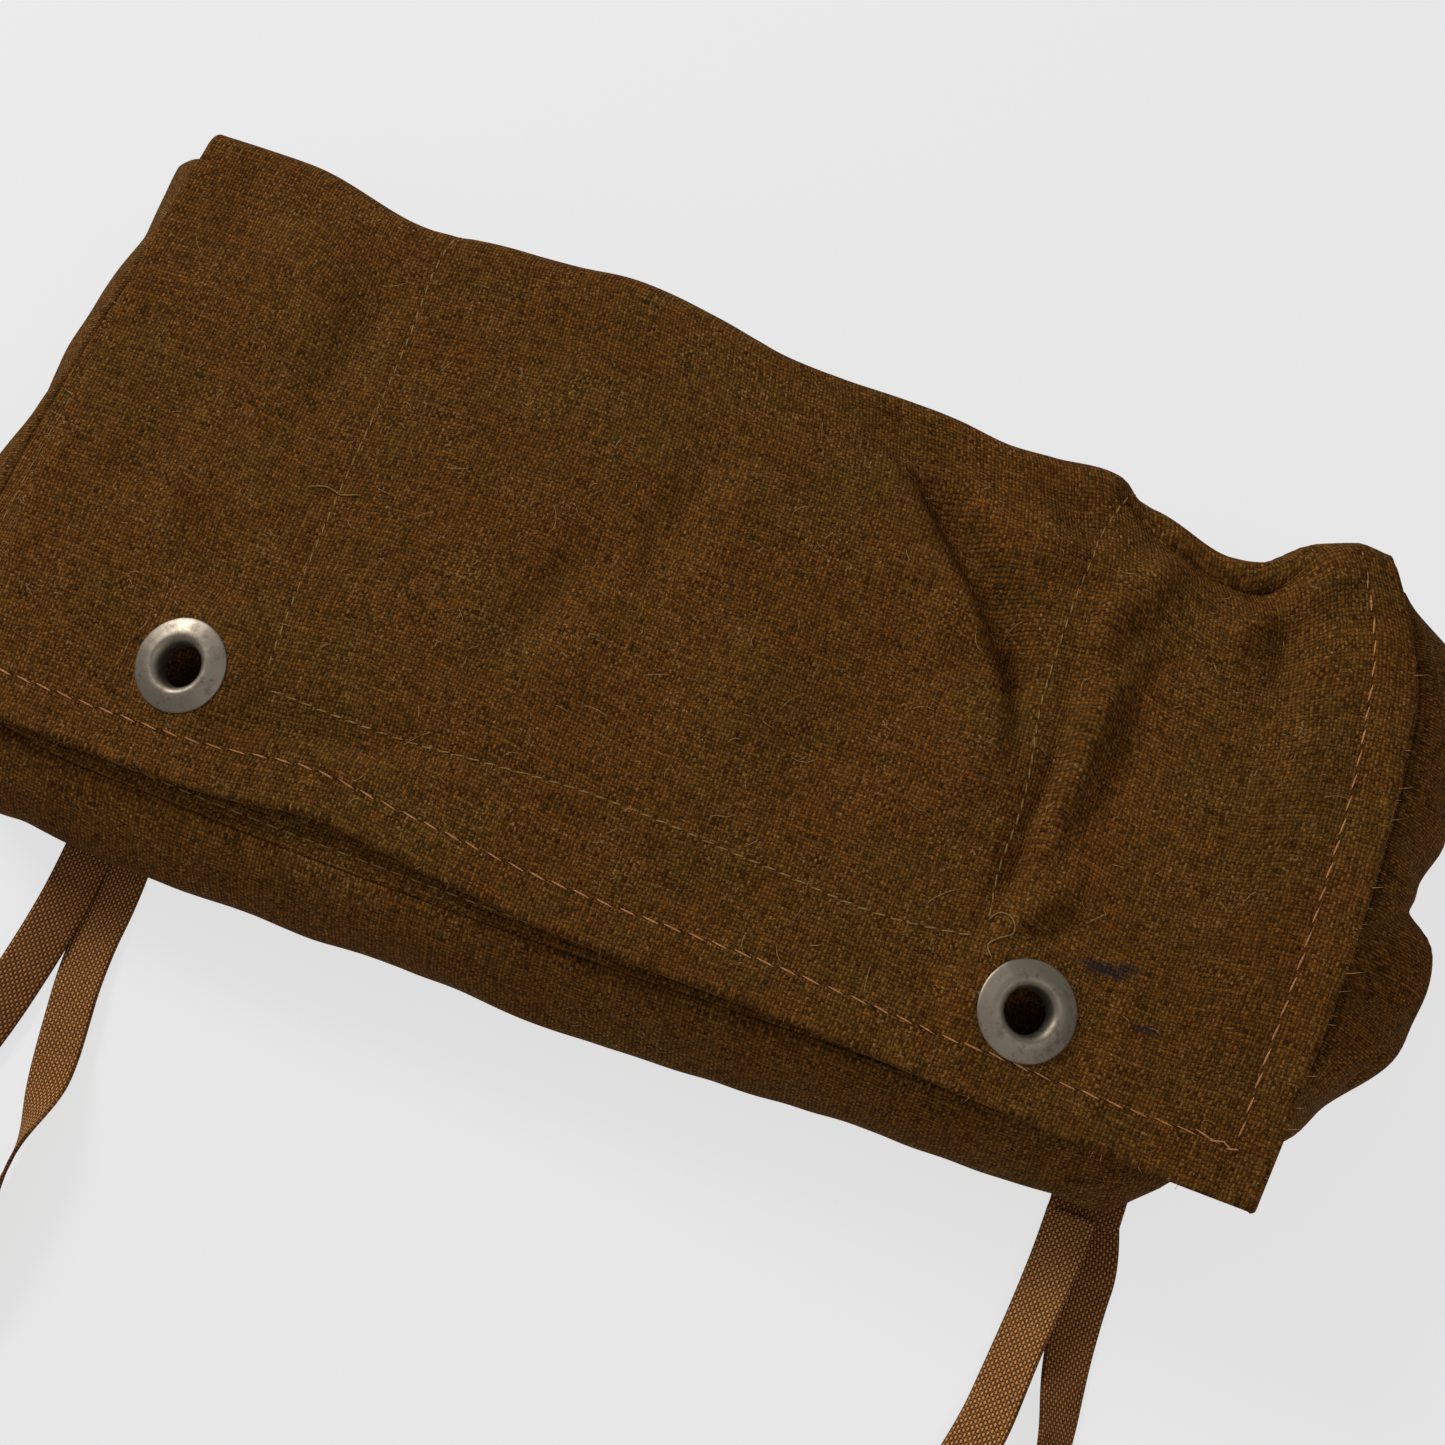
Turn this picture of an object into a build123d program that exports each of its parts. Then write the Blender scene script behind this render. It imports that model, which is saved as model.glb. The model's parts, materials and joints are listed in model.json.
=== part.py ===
from build123d import *
import math
import os

# Flap-over canvas mail sack, lying on its back with the flap closed.
# X runs across the sack, Y runs from its bottom seam up to its mouth, Z is up.
# The origin is under the middle of the sack, on the surface that it lies on.
# All sizes are in millimetres.

# Cloth
CLOTH = 1.4                 # thickness of a canvas wall
FOLD = 1.2                  # thickness of a pressed fold or patch under the flap
GAP = 0.3                   # room left between pieces that move apart

# Body
BODY_WIDTH = 356.0          # over both side gussets
BODY_LENGTH = 172.0         # from the bottom gusset to the outside of the mouth band
BODY_HEIGHT = 42.0          # from the back panel's outside to the front panel's outside
BULGE = 16.0                # how far a gusset stands out past the edge of the panels
CORNER_RADIUS = 32.0        # of the panels' two bottom corners
MOUTH_HEM_WIDTH = 12.0
MOUTH_HEM_INSET = 2.0       # from the front panel's free edge

# Flap
FLAP_WIDTH = 304.0
FLAP_EDGE = -66.0           # Y of the flap's lower edge
FLAP_UNDERSIDE = 43.0       # Z of the lowest layer under the flap
HEM_WIDTH = 10.0
HEM_STITCH_INSET = 8.5
POCKET_WIDTH = 176.0
POCKET_BOTTOM = -40.0       # Y of the inner pocket's lower edge
POCKET_TOP = 80.0
POCKET_STITCH_INSET = 2.5
HINGE_HEIGHT = 2.6          # Z of the line that the mouth band turns about

# Eyelets, which were set by hand and aren't quite level
EYELET_PLACES = {"left": (-99.5, -42.5), "right": (99.5, -46.0)}
EYELET_OUTER = 11.0         # radius of the flange
EYELET_BORE = 5.0           # radius of the hole
EYELET_WALL = 0.6
EYELET_CREST = 6.9          # radius of the funnel's rounded top
CREST_HEIGHT = 1.75         # above the flap
WASHER_OUTER = 9.8
WASHER_THICKNESS = 1.0
LIP = 0.4                   # height of the barrel's rolled lower lip
LIP_REACH = 1.6

# Stitches
STITCH_LENGTH = 3.6
STITCH_PITCH = 5.2
STITCH_WIDTH = 0.7
STITCH_HEIGHT = 0.35

# Tie tapes
TAPE_WIDTH = 10.0
TAPE_THICKNESS = 0.9
TAPE_START = -76.0          # Y of the place where each tape leaves its anchor
LOW_TAPE = 0.5              # Z of the middle of a tape that lies on the table
HIGH_TAPE = 1.5             # Z of the middle of a tape that lies on another
ANCHOR_DEPTH = 5.0
ANCHOR_HEIGHT = 2.2
ANCHOR_MARGIN = 1.0

LEFT_OUTER_ROUTE = [(-117, TAPE_START), (-117, -91), (-118.5, -110), (-122, -134), (-127.5, -160),
                    (-136, -186), (-145, -211), (-150.5, -237), (-151, -261)]
LEFT_INNER_ROUTE = [(-108, TAPE_START), (-108, -90), (-104.5, -108), (-103, -126), (-99, -146),
                    (-94, -168), (-93, -192), (-96, -217), (-103, -241), (-113, -262)]
RIGHT_INNER_ROUTE = [(127, TAPE_START), (127, -92), (123.5, -112), (117.5, -138), (109, -165),
                     (98, -190), (85, -213), (75, -238), (70, -260)]
RIGHT_OUTER_ROUTE = [(132.5, TAPE_START), (132.5, -88), (136, -106), (137.5, -126), (138, -150),
                     (133, -177), (123, -203), (110, -227), (99.5, -250), (93, -266)]

# Worked out from the sizes above
PANEL_X = BODY_WIDTH / 2 - BULGE
PANEL_BOTTOM = -BODY_LENGTH / 2 + BULGE
BAND_OUTSIDE = BODY_LENGTH / 2
BAND_INSIDE = BAND_OUTSIDE - CLOTH
MOUTH = BAND_INSIDE - GAP
FLAP_LAYER = FLAP_UNDERSIDE + FOLD
FLAP_TOP = FLAP_LAYER + CLOTH
FLAP_MIDDLE = FLAP_LAYER + CLOTH / 2
FLAP_FOLD = BAND_OUTSIDE - CLOTH / 2


def block(x0, x1, y0, y1, z0, z1):
    """A box between two corners."""
    middle = Pos((x0 + x1) / 2, (y0 + y1) / 2, (z0 + z1) / 2)
    return middle * Box(x1 - x0, y1 - y0, z1 - z0)


def panel(z0):
    """A body panel: square at the mouth, rounded at its two bottom corners."""
    plate = block(-PANEL_X, PANEL_X, PANEL_BOTTOM, MOUTH, z0, z0 + CLOTH)
    corners = plate.edges().filter_by(Axis.Z).sort_by(Axis.Y)[:2]
    return fillet(corners, CORNER_RADIUS)


def gusset_section(x, y, outward):
    """The bowed section of a gusset, standing on the panels' edge at x, y."""
    foot = Vector(x, y, 0)
    middle = BODY_HEIGHT / 2

    def at(reach, height):
        return foot + outward * reach + Vector(0, 0, height)

    outer = ThreePointArc(at(0, 0), at(BULGE, middle), at(0, BODY_HEIGHT))
    inner = ThreePointArc(at(0, BODY_HEIGHT - CLOTH), at(BULGE - CLOTH, middle), at(0, CLOTH))
    top = Line(at(0, BODY_HEIGHT), at(0, BODY_HEIGHT - CLOTH))
    bottom = Line(at(0, CLOTH), at(0, 0))
    return Face(Wire([outer, top, inner, bottom]))


def side_gusset(side):
    """The gusset on one side: round the bottom corner, then straight up to the mouth."""
    down = Vector(0, -1, 0)
    reach = PANEL_X - CORNER_RADIUS
    start = PANEL_BOTTOM + CORNER_RADIUS
    pivot = Axis((side * reach, start, 0), (0, 0, side))
    corner = revolve(gusset_section(side * reach, PANEL_BOTTOM, down), pivot, 90)
    section = gusset_section(side * PANEL_X, start, Vector(side, 0, 0))
    return corner + extrude(section, amount=MOUTH - start, dir=(0, 1, 0))


def bottom_gusset():
    """The straight gusset along the bottom, between the two side gussets."""
    reach = PANEL_X - CORNER_RADIUS
    section = gusset_section(-reach, PANEL_BOTTOM, Vector(0, -1, 0))
    return extrude(section, amount=2 * reach, dir=(1, 0, 0))


def mouth_hem():
    """The turned-in hem along the free edge of the front panel."""
    top = MOUTH - MOUTH_HEM_INSET
    under = BODY_HEIGHT - CLOTH
    return block(-PANEL_X, PANEL_X, top - MOUTH_HEM_WIDTH, top, under - CLOTH, under)


def mouth_band():
    """The band that closes the mouth, from the back panel's edge up to the flap."""
    half = FLAP_WIDTH / 2
    top = FLAP_LAYER - 2 * GAP
    return block(-half, half, BAND_INSIDE, BAND_OUTSIDE, HINGE_HEIGHT + GAP, top)


def flap_panel():
    """The flap's outer layer, with two holes for the eyelet barrels."""
    half = FLAP_WIDTH / 2
    sheet = block(-half, half, FLAP_EDGE, FLAP_FOLD - GAP, FLAP_LAYER, FLAP_TOP)
    for x, y in EYELET_PLACES.values():
        hole = Cylinder(EYELET_BORE + EYELET_WALL, 4 * CLOTH)
        sheet -= Pos(x, y, FLAP_MIDDLE) * hole
    return sheet


def flap_hem():
    """The turned-under hem on the flap's lower edge and its right side."""
    half = FLAP_WIDTH / 2
    lower = block(-half, half, FLAP_EDGE, FLAP_EDGE + HEM_WIDTH, FLAP_UNDERSIDE, FLAP_LAYER)
    right = block(half - HEM_WIDTH, half, FLAP_EDGE, POCKET_TOP, FLAP_UNDERSIDE, FLAP_LAYER)
    return lower + right


def flap_pocket():
    """The patch sewn flat to the inside of the flap."""
    half = POCKET_WIDTH / 2
    return block(-half, half, POCKET_BOTTOM, POCKET_TOP, FLAP_UNDERSIDE, FLAP_LAYER)


def eyelet(side):
    """A funnel eyelet: sloping flange, rounded crest, funnel, barrel and rolled lip."""
    low = FLAP_LAYER - WASHER_THICKNESS - LIP
    outer_wall = EYELET_BORE + EYELET_WALL
    lip_reach = EYELET_BORE + LIP_REACH
    slope_top = EYELET_CREST + 1.3
    edge = EYELET_OUTER - 0.2

    def at(radius, height):
        return (radius, 0, height)

    def above(radius, height):
        return (radius, 0, FLAP_TOP + height)

    edges = [
        Line(at(EYELET_BORE, low), above(EYELET_BORE, -0.4)),
        ThreePointArc(above(EYELET_BORE, -0.4), above(EYELET_BORE + 0.5, CREST_HEIGHT - 0.65),
                      above(EYELET_CREST, CREST_HEIGHT)),
        ThreePointArc(above(EYELET_CREST, CREST_HEIGHT),
                      above(EYELET_CREST + 0.7, CREST_HEIGHT - 0.1),
                      above(slope_top, CREST_HEIGHT - 0.4)),
        Line(above(slope_top, CREST_HEIGHT - 0.4), above(edge, 0.5)),
        Line(above(edge, 0.5), above(EYELET_OUTER, 0)),
        Line(above(EYELET_OUTER, 0), above(outer_wall, 0)),
        Line(above(outer_wall, 0), at(outer_wall, low + LIP)),
        Line(at(outer_wall, low + LIP), at(lip_reach, low + LIP)),
        Line(at(lip_reach, low + LIP), at(lip_reach, low)),
        Line(at(lip_reach, low), at(EYELET_BORE, low)),
    ]
    ring = revolve(Face(Wire(edges)), Axis.Z, 360)
    x, y = EYELET_PLACES[side]
    return Pos(x, y, 0) * ring


def eyelet_washer(side):
    """The flat washer that the barrel is rolled over, under the flap."""
    disc = Cylinder(WASHER_OUTER, WASHER_THICKNESS) - Cylinder(EYELET_BORE + EYELET_WALL, 2)
    x, y = EYELET_PLACES[side]
    return Pos(x, y, FLAP_LAYER - WASHER_THICKNESS / 2) * disc


def stitch_row(start, end, height):
    """Stitches in a straight line between two points of the XY plane."""
    first = Vector(start[0], start[1], height + STITCH_HEIGHT / 2)
    last = Vector(end[0], end[1], height + STITCH_HEIGHT / 2)
    run = last - first
    count = int(run.length // STITCH_PITCH)
    turn = math.degrees(math.atan2(run.Y, run.X))
    stitches = []
    for number in range(count):
        place = first + run * ((number + 0.5) / count)
        stitch = Box(STITCH_LENGTH, STITCH_WIDTH, STITCH_HEIGHT)
        stitches.append(Pos(place.X, place.Y, place.Z) * Rot(0, 0, turn) * stitch)
    return stitches


def flap_hem_thread():
    """Stitching of the flap's hem: the lower edge, then up the right side."""
    half = FLAP_WIDTH / 2
    row_y = FLAP_EDGE + HEM_STITCH_INSET
    row_x = half - HEM_STITCH_INSET
    lower = stitch_row((-half + 3, row_y), (row_x - 3, row_y), FLAP_TOP)
    right = stitch_row((row_x, row_y + 3), (row_x, POCKET_TOP), FLAP_TOP)
    return Compound(lower + right)


def pocket_thread():
    """Stitching that holds the inner pocket: down, across and up again."""
    x = POCKET_WIDTH / 2 - POCKET_STITCH_INSET
    y = POCKET_BOTTOM + POCKET_STITCH_INSET
    left = stitch_row((-x, POCKET_TOP), (-x, y + 3), FLAP_TOP)
    across = stitch_row((-x + 3, y), (x - 3, y), FLAP_TOP)
    right = stitch_row((x, y + 3), (x, POCKET_TOP), FLAP_TOP)
    return Compound(left + across + right)


def mouth_thread():
    """Stitching of the mouth hem, on the outside of the front panel."""
    y = MOUTH - MOUTH_HEM_INSET - MOUTH_HEM_WIDTH + 2
    return Compound(stitch_row((-PANEL_X + 8, y), (PANEL_X - 8, y), BODY_HEIGHT))


def seam_thread():
    """Stitching of the seam between the front panel and its gussets."""
    x = PANEL_X - 4
    y = PANEL_BOTTOM + 4
    corner = CORNER_RADIUS
    left = stitch_row((-x, MOUTH - 6), (-x, y + corner), BODY_HEIGHT)
    across = stitch_row((-x + corner, y), (x - corner, y), BODY_HEIGHT)
    right = stitch_row((x, y + corner), (x, MOUTH - 6), BODY_HEIGHT)
    return Compound(left + across + right)


def tape_path(route, height):
    """A route's straight runs, joined by arcs as large as the runs allow."""
    points = [Vector(x, y, height) for x, y in route]
    radii = []
    for before, corner, after in zip(points, points[1:], points[2:]):
        turn = (corner - before).get_angle(after - corner)
        shorter = min((corner - before).length, (after - corner).length)
        radii.append(0.45 * shorter / math.tan(math.radians(turn) / 2))
    return FilletPolyline(*points, radius=radii), radii


def tape(name, route, height):
    """A flat woven tape along its route."""
    path, radii = tape_path(route, height)
    start = Plane(origin=path @ 0, z_dir=path % 0, x_dir=(path % 0).cross(Vector(0, 0, 1)))
    solid = sweep(start * Rectangle(TAPE_WIDTH, TAPE_THICKNESS), path=path)
    share = solid.volume / (path.length * TAPE_WIDTH * TAPE_THICKNESS)
    print(name, "length", round(path.length, 1), "least radius", round(min(radii), 1),
          "volume share", round(share, 4))
    return solid


def tape_anchor(low_route, high_route, walls):
    """The doubled, sewn-down ends of a pair of tapes, tucked under the bowed walls."""
    starts = sorted([low_route[0][0], high_route[0][0]])
    half = TAPE_WIDTH / 2 + ANCHOR_MARGIN
    wedge = block(starts[0] - half, starts[1] + half, TAPE_START, TAPE_START + ANCHOR_DEPTH,
                  0, ANCHOR_HEIGHT)
    for wall in walls:
        wedge -= wall
    return wedge.solids().sort_by(Axis.Z)[0]


gussets = {
    "left_gusset": side_gusset(-1),
    "right_gusset": side_gusset(1),
    "bottom_gusset": bottom_gusset(),
}
parts = {
    "back_panel": panel(0),
    "front_panel": panel(BODY_HEIGHT - CLOTH),
    **gussets,
    "mouth_hem": mouth_hem(),
    "mouth_thread": mouth_thread(),
    "seam_thread": seam_thread(),
    "mouth_band": mouth_band(),
    "flap_panel": flap_panel(),
    "flap_hem": flap_hem(),
    "flap_pocket": flap_pocket(),
    "flap_hem_thread": flap_hem_thread(),
    "pocket_thread": pocket_thread(),
    "left_eyelet": eyelet("left"),
    "right_eyelet": eyelet("right"),
    "left_eyelet_washer": eyelet_washer("left"),
    "right_eyelet_washer": eyelet_washer("right"),
    "left_tape_anchor": tape_anchor(LEFT_INNER_ROUTE, LEFT_OUTER_ROUTE, gussets.values()),
    "right_tape_anchor": tape_anchor(RIGHT_OUTER_ROUTE, RIGHT_INNER_ROUTE, gussets.values()),
    "left_outer_tape": tape("left_outer_tape", LEFT_OUTER_ROUTE, HIGH_TAPE),
    "left_inner_tape": tape("left_inner_tape", LEFT_INNER_ROUTE, LOW_TAPE),
    "right_inner_tape": tape("right_inner_tape", RIGHT_INNER_ROUTE, HIGH_TAPE),
    "right_outer_tape": tape("right_outer_tape", RIGHT_OUTER_ROUTE, LOW_TAPE),
}

os.makedirs("parts", exist_ok=True)
for name, shape in parts.items():
    export_step(shape, f"parts/{name}.step")
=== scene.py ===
import json
import math
import random

import bmesh
import bpy
import numpy as np
from bpy.props import FloatProperty, FloatVectorProperty, IntProperty, PointerProperty
from mathutils import Matrix, Vector, noise


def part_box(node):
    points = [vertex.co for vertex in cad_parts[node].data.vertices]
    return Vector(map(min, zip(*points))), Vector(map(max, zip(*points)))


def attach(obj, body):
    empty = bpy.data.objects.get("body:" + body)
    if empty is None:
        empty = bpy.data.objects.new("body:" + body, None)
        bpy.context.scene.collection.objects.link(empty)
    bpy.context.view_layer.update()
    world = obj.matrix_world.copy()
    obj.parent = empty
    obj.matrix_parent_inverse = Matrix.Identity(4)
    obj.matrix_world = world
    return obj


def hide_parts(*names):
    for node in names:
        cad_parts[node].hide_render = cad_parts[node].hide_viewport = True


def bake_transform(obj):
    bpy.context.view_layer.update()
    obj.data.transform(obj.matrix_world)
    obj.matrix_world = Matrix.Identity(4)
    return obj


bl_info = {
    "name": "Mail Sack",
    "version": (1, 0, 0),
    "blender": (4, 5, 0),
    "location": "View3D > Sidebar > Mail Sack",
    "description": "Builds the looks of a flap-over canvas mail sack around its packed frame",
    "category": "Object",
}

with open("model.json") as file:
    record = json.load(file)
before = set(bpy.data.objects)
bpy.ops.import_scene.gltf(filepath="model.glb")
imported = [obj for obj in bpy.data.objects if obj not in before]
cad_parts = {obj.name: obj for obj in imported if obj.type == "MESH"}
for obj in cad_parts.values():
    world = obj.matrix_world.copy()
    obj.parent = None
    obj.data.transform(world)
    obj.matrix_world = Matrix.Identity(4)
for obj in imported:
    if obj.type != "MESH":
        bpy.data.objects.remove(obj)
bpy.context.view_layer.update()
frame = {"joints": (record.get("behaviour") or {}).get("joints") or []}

# X runs across the sack, Y from its bottom seam up to its mouth, and Z is up, as in the frame.
# Shapes are worked out in millimetres, and meshes hold metres.
MM = 0.001


def joint_place(name):
    """Y and Z of a hinge line, in millimetres."""
    joint = next(joint for joint in frame["joints"] if joint["name"] == name)
    return joint["pos_m"][1] / MM, joint["pos_m"][2] / MM


def cad_box(node):
    """The two corners of a CAD node's box, in millimetres."""
    return [Vector(corner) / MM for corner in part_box(node)]


def cad_middle(node):
    """X and Y of the middle of a CAD node, in millimetres."""
    low, high = cad_box(node)
    return (low.x + high.x) / 2, (low.y + high.y) / 2


MOUTH_HINGE_Y, MOUTH_HINGE_Z = joint_place("mouth_open")
FLAP_LOW, FLAP_HIGH = cad_box("flap_panel")
FRONT_LOW, FRONT_HIGH = cad_box("front_panel")
EYELETS = {side: cad_middle(f"{side}_eyelet") for side in ("left", "right")}
FLAP_MIDDLE = (FLAP_LOW.z + FLAP_HIGH.z) / 2
CLOTH = FLAP_HIGH.z - FLAP_LOW.z
FRONT_MIDDLE = (FRONT_LOW.z + FRONT_HIGH.z) / 2

# ---------------------------------------------------------------------------
# Curves and folds
# ---------------------------------------------------------------------------


def ease(share):
    """0 below 0, 1 above 1, and a smooth rise between."""
    share = np.clip(share, 0.0, 1.0)
    return share * share * (3.0 - 2.0 * share)


def course(places, values, at):
    """A smooth curve of values through given places, held level beyond its ends."""
    places = np.asarray(places, float)
    values = np.asarray(values, float)
    at = np.clip(np.asarray(at, float), places[0], places[-1])
    slopes = np.gradient(values, places)
    left = np.clip(np.searchsorted(places, at, side="right") - 1, 0, len(places) - 2)
    gap = places[left + 1] - places[left]
    t = (at - places[left]) / gap
    return (
        (1 + 2 * t) * (1 - t) ** 2 * values[left]
        + t * (1 - t) ** 2 * gap * slopes[left]
        + t * t * (3 - 2 * t) * values[left + 1]
        + t * t * (t - 1) * gap * slopes[left + 1]
    )


def line_through(points, count):
    """Evenly spaced points on a smooth curve through the given ones, with the knots' places."""
    points = np.asarray(points, float)
    runs = np.linalg.norm(np.diff(points, axis=0), axis=1)
    knots = np.concatenate([[0.0], np.cumsum(runs)])
    at = np.linspace(0.0, knots[-1], count)
    return np.stack([course(knots, column, at) for column in points.T], axis=-1), knots, at


def beside(x, y, route, count=60):
    """Distance from a route, positive on its left hand, and how far along the route each point is."""
    line, knots, at = line_through(route, count)
    best = np.full(np.shape(x), 1e9)
    side = np.zeros(np.shape(x))
    along = np.zeros(np.shape(x))
    for start, end, place, after in zip(line, line[1:], at, at[1:]):
        run = end - start
        share = ((x - start[0]) * run[0] + (y - start[1]) * run[1]) / (run @ run)
        share = np.clip(share, 0.0, 1.0)
        off_x = x - start[0] - share * run[0]
        off_y = y - start[1] - share * run[1]
        away = np.hypot(off_x, off_y)
        nearer = away < best
        best = np.where(nearer, away, best)
        side = np.where(nearer, np.sign(off_y * run[0] - off_x * run[1]), side)
        along = np.where(nearer, place + share * (after - place), along)
    return best * side, along, knots


def crease(x, y, route, heights, right, left):
    """A fold along a route: its height at each point, and its width on the right and left hand."""
    away, along, knots = beside(x, y, route)
    width = np.where(away < 0, right, left)
    return course(knots, heights, along) * np.exp(-((away / width) ** 2))


def unevenness(x, y, size, seed):
    """Smooth random height from -1 to 1, with lumps of the given size."""
    flat = zip(np.ravel(x), np.ravel(y))
    values = [noise.noise(Vector((a / size, b / size, seed))) for a, b in flat]
    return np.array(values).reshape(np.shape(x))


# ---------------------------------------------------------------------------
# The flap's cloth
# ---------------------------------------------------------------------------

FLAP_SPAN = 152.0           # nominal half width
ROLL = 6.0                  # radius of the soft fold over the mouth
RISE = 33.0                 # cloth from the hinge line up to the roll
TOP_LENGTH = 142.0          # cloth from the roll to the hem
TURN_UNDER = 0.75           # radius of the folded hem edges
TURNED = 2.6                # how far round a hem's edge is folded, in radians
DEEPEST_FOLD = -10.5        # the lowest and the highest that a fold may reach
HIGHEST_FOLD = 3.4
ROLL_END = RISE + ROLL * math.pi / 2
HEM_END = ROLL_END + TOP_LENGTH

# Where the flap's edges lie, as places and values
LEFT_EDGE = ([-66, -35, -11, 16, 51, 85], [-146, -149, -152, -154, -156, -156])
RIGHT_EDGE = ([-66, -52, -28, -4, 36, 59, 72, 81], [154.8, 156, 157, 158, 157, 153.5, 148, 143])
LOWER_EDGE = (
    [-150, -112, -84, -65, -40, -12, 56, 100, 122, 150],
    [-66, -66, -64.5, -61.5, -63, -65, -64.5, -65.5, -66, -65.5],
)
FOLD_LINE = (
    [-152, -125, -90, -73, -52, -40, -15, 1, 19, 34, 48, 60, 72, 88, 100, 113, 124, 136, 145],
    [88, 88.5, 82, 84.5, 86, 87.5, 85, 82, 82, 82, 81, 79, 79.5, 80.5, 75, 70.5, 72.5, 80.5, 84],
)

# Folds of the flap: route, height along it, and width on its right hand and on its left
FLAP_FOLDS = [
    # the upper slope of the middle panel's shoulder
    (
        [(-10, 82), (8, 78), (22, 71.5), (34, 64.5), (46, 56.5), (52, 52)],
        [0, -2.2, -4.2, -5.0, -4.6, -2.0], 3.0, 15,
    ),
    # the deep trough that the shoulder drops into
    (
        [(38, 62), (46, 54.5), (55, 45.5), (64, 36), (70, 28), (75, 19), (78.5, 9), (81, 0)],
        [-2.5, -6.5, -9.5, -10.5, -10.2, -6.5, -2.0, 0], 2.7, 7.4,
    ),
    # the lit edge of the puffy lobe beside the trough, and the lobe
    (
        [(30, 68), (41, 65), (50, 61.5), (57, 56), (62, 48), (67, 40)],
        [0, 2.4, 3.4, 4.2, 3.8, 0.8], 3.4, 4.5,
    ),
    ([(60, 62), (70, 56), (78, 48)], [0, 3.4, 1.2], 9, 8),
    # the smooth shoulder's own edge
    ([(26, 60), (40, 50), (52, 41), (61, 33), (67, 26)], [0, 1.4, 2.2, 2.4, 0], 11, 2.6),
    ([(66, 24), (71, 10), (72, -4), (68, -20)], [0, 1.6, 1.4, 0], 9, 5),
    # the valley between the lobe and the seam
    ([(60, 73), (70, 68), (78, 62.5), (83, 65)], [0, -3.0, -3.4, 0], 3.5, 5),
    # ridges beside the pocket's right seam, and the hollows between them
    ([(101, 67), (97, 59), (90, 46), (88, 32)], [0, 3.8, 4.4, 0], 3.8, 4.2),
    ([(97, 32), (94, 24), (93, 12), (91, -12), (92, -24)], [0, 3.6, 4.4, 3.0, 0], 2.6, 3.2),
    ([(108, 50), (102, 34), (99, 22), (98, 8), (99, -8)], [0, -2.2, -2.8, -2.4, 0], 3.4, 9),
    (
        [(83, 44), (86, 26), (88, 13), (89, -3), (88, -21), (86, -30)],
        [0, -3.0, -3.6, -4.2, -3.0, 0], 4.0, 2.4,
    ),
    # the rolled lip at the mouth, and the dark valley under it
    ([(84, 85), (90, 82), (97, 79), (106, 77), (118, 77)], [0, 2.6, 3.2, 3.0, 0], 2.8, 4),
    (
        [(84, 83), (89, 77.5), (97, 73), (106, 70), (114, 68.5), (122, 69.5), (130, 76)],
        [0, -7.0, -9.5, -9.5, -8.6, -6.0, 0], 8, 2.0,
    ),
    ([(117, 68), (125, 58), (129, 48), (128, 32)], [0, -4.2, -3.4, 0], 6, 5),
    # the ridge that runs into the right corner
    ([(112, 40), (118, 52), (126, 64), (137, 78)], [0, 2.4, 3.4, 2.2], 4.0, 5.0),
    ([(140, 76), (146, 60), (149, 44)], [0.8, 1.8, 0], 5, 4),
    ([(134, 44), (138, 26), (138, 4)], [0, 1.4, 0], 6, 6),
    # a pucker where the seam runs out
    ([(86, -36), (90, -31), (97, -21), (103, -12)], [0, 2.4, 2.6, 0], 3.0, 3.2),
    ([(92, -40), (98, -31), (108, -20)], [0, -2.2, 0], 3.0, 4),
    # soft valleys and swells of the middle panel
    ([(-24, 28), (-28, 10), (-32, -4), (-39, -26)], [0, -2.2, -2.2, 0], 6, 7),
    ([(-4, 54), (-9, 34), (-12, 12), (-14, -14)], [0, -2.2, -1.9, 0], 7, 7),
    ([(-10, 22), (-16, 4), (-22, -24)], [0, 1.7, 0], 7, 7),
    ([(10, 62), (4, 40), (4, 14)], [0, 1.5, 0], 8, 8),
    ([(46, 20), (40, -6), (34, -36)], [0, -1.8, 0], 10, 10),
    ([(26, 30), (20, 2), (14, -30)], [0, 1.2, 0], 9, 9),
    ([(-84, -48), (-70, -46), (-51, -44), (-34, -39)], [0, -1.9, -1.9, 0], 3.2, 4.5),
    ([(10, -50), (24, -47), (44, -48)], [0, -1.3, 0], 4, 5),
    # soft folds of the left side
    ([(-116, 2), (-110, -11), (-100, -23), (-92, -33)], [0, -2.2, -2.2, 0], 4.5, 5.5),
    ([(-98, 66), (-99, 56), (-100, 29), (-104, 12)], [0, -2.2, -1.8, 0], 6, 7),
    ([(-130, 72), (-121, 61), (-102, 44), (-94, 34)], [0, 2.0, 1.6, 0], 6, 8),
    ([(-134, 30), (-130, 8), (-134, -20)], [0, -1.7, 0], 7, 7),
    ([(-148, 78), (-138, 66), (-132, 50)], [0, -1.4, 0], 6, 6),
]

# Seams of the inner pocket, and rows of the flap's hem
POCKET_LEFT = [(-88, 84), (-89, 76), (-87, 50), (-85, 10), (-82, -30), (-81.5, -36)]
POCKET_RIGHT = [(85, 84), (83, 76), (80, 50), (81, 22), (84, -6), (84, -21), (86, -31)]
POCKET_FOOT = [(-79, -40), (-47, -39.5), (-2, -36), (36, -37), (68, -37.5), (84, -35)]
HEM_FOOT = [(-145, -57.5), (-112, -57.5), (-84, -56), (-65, -53), (-40, -54.5), (-12, -56.5),
            (56, -56), (100, -57), (122, -57), (146, -56)]
HEM_SIDE = [(148.5, -54.5), (149, -28), (149.5, -4), (148.5, 36), (145, 59), (141, 70), (136, 79)]

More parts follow.
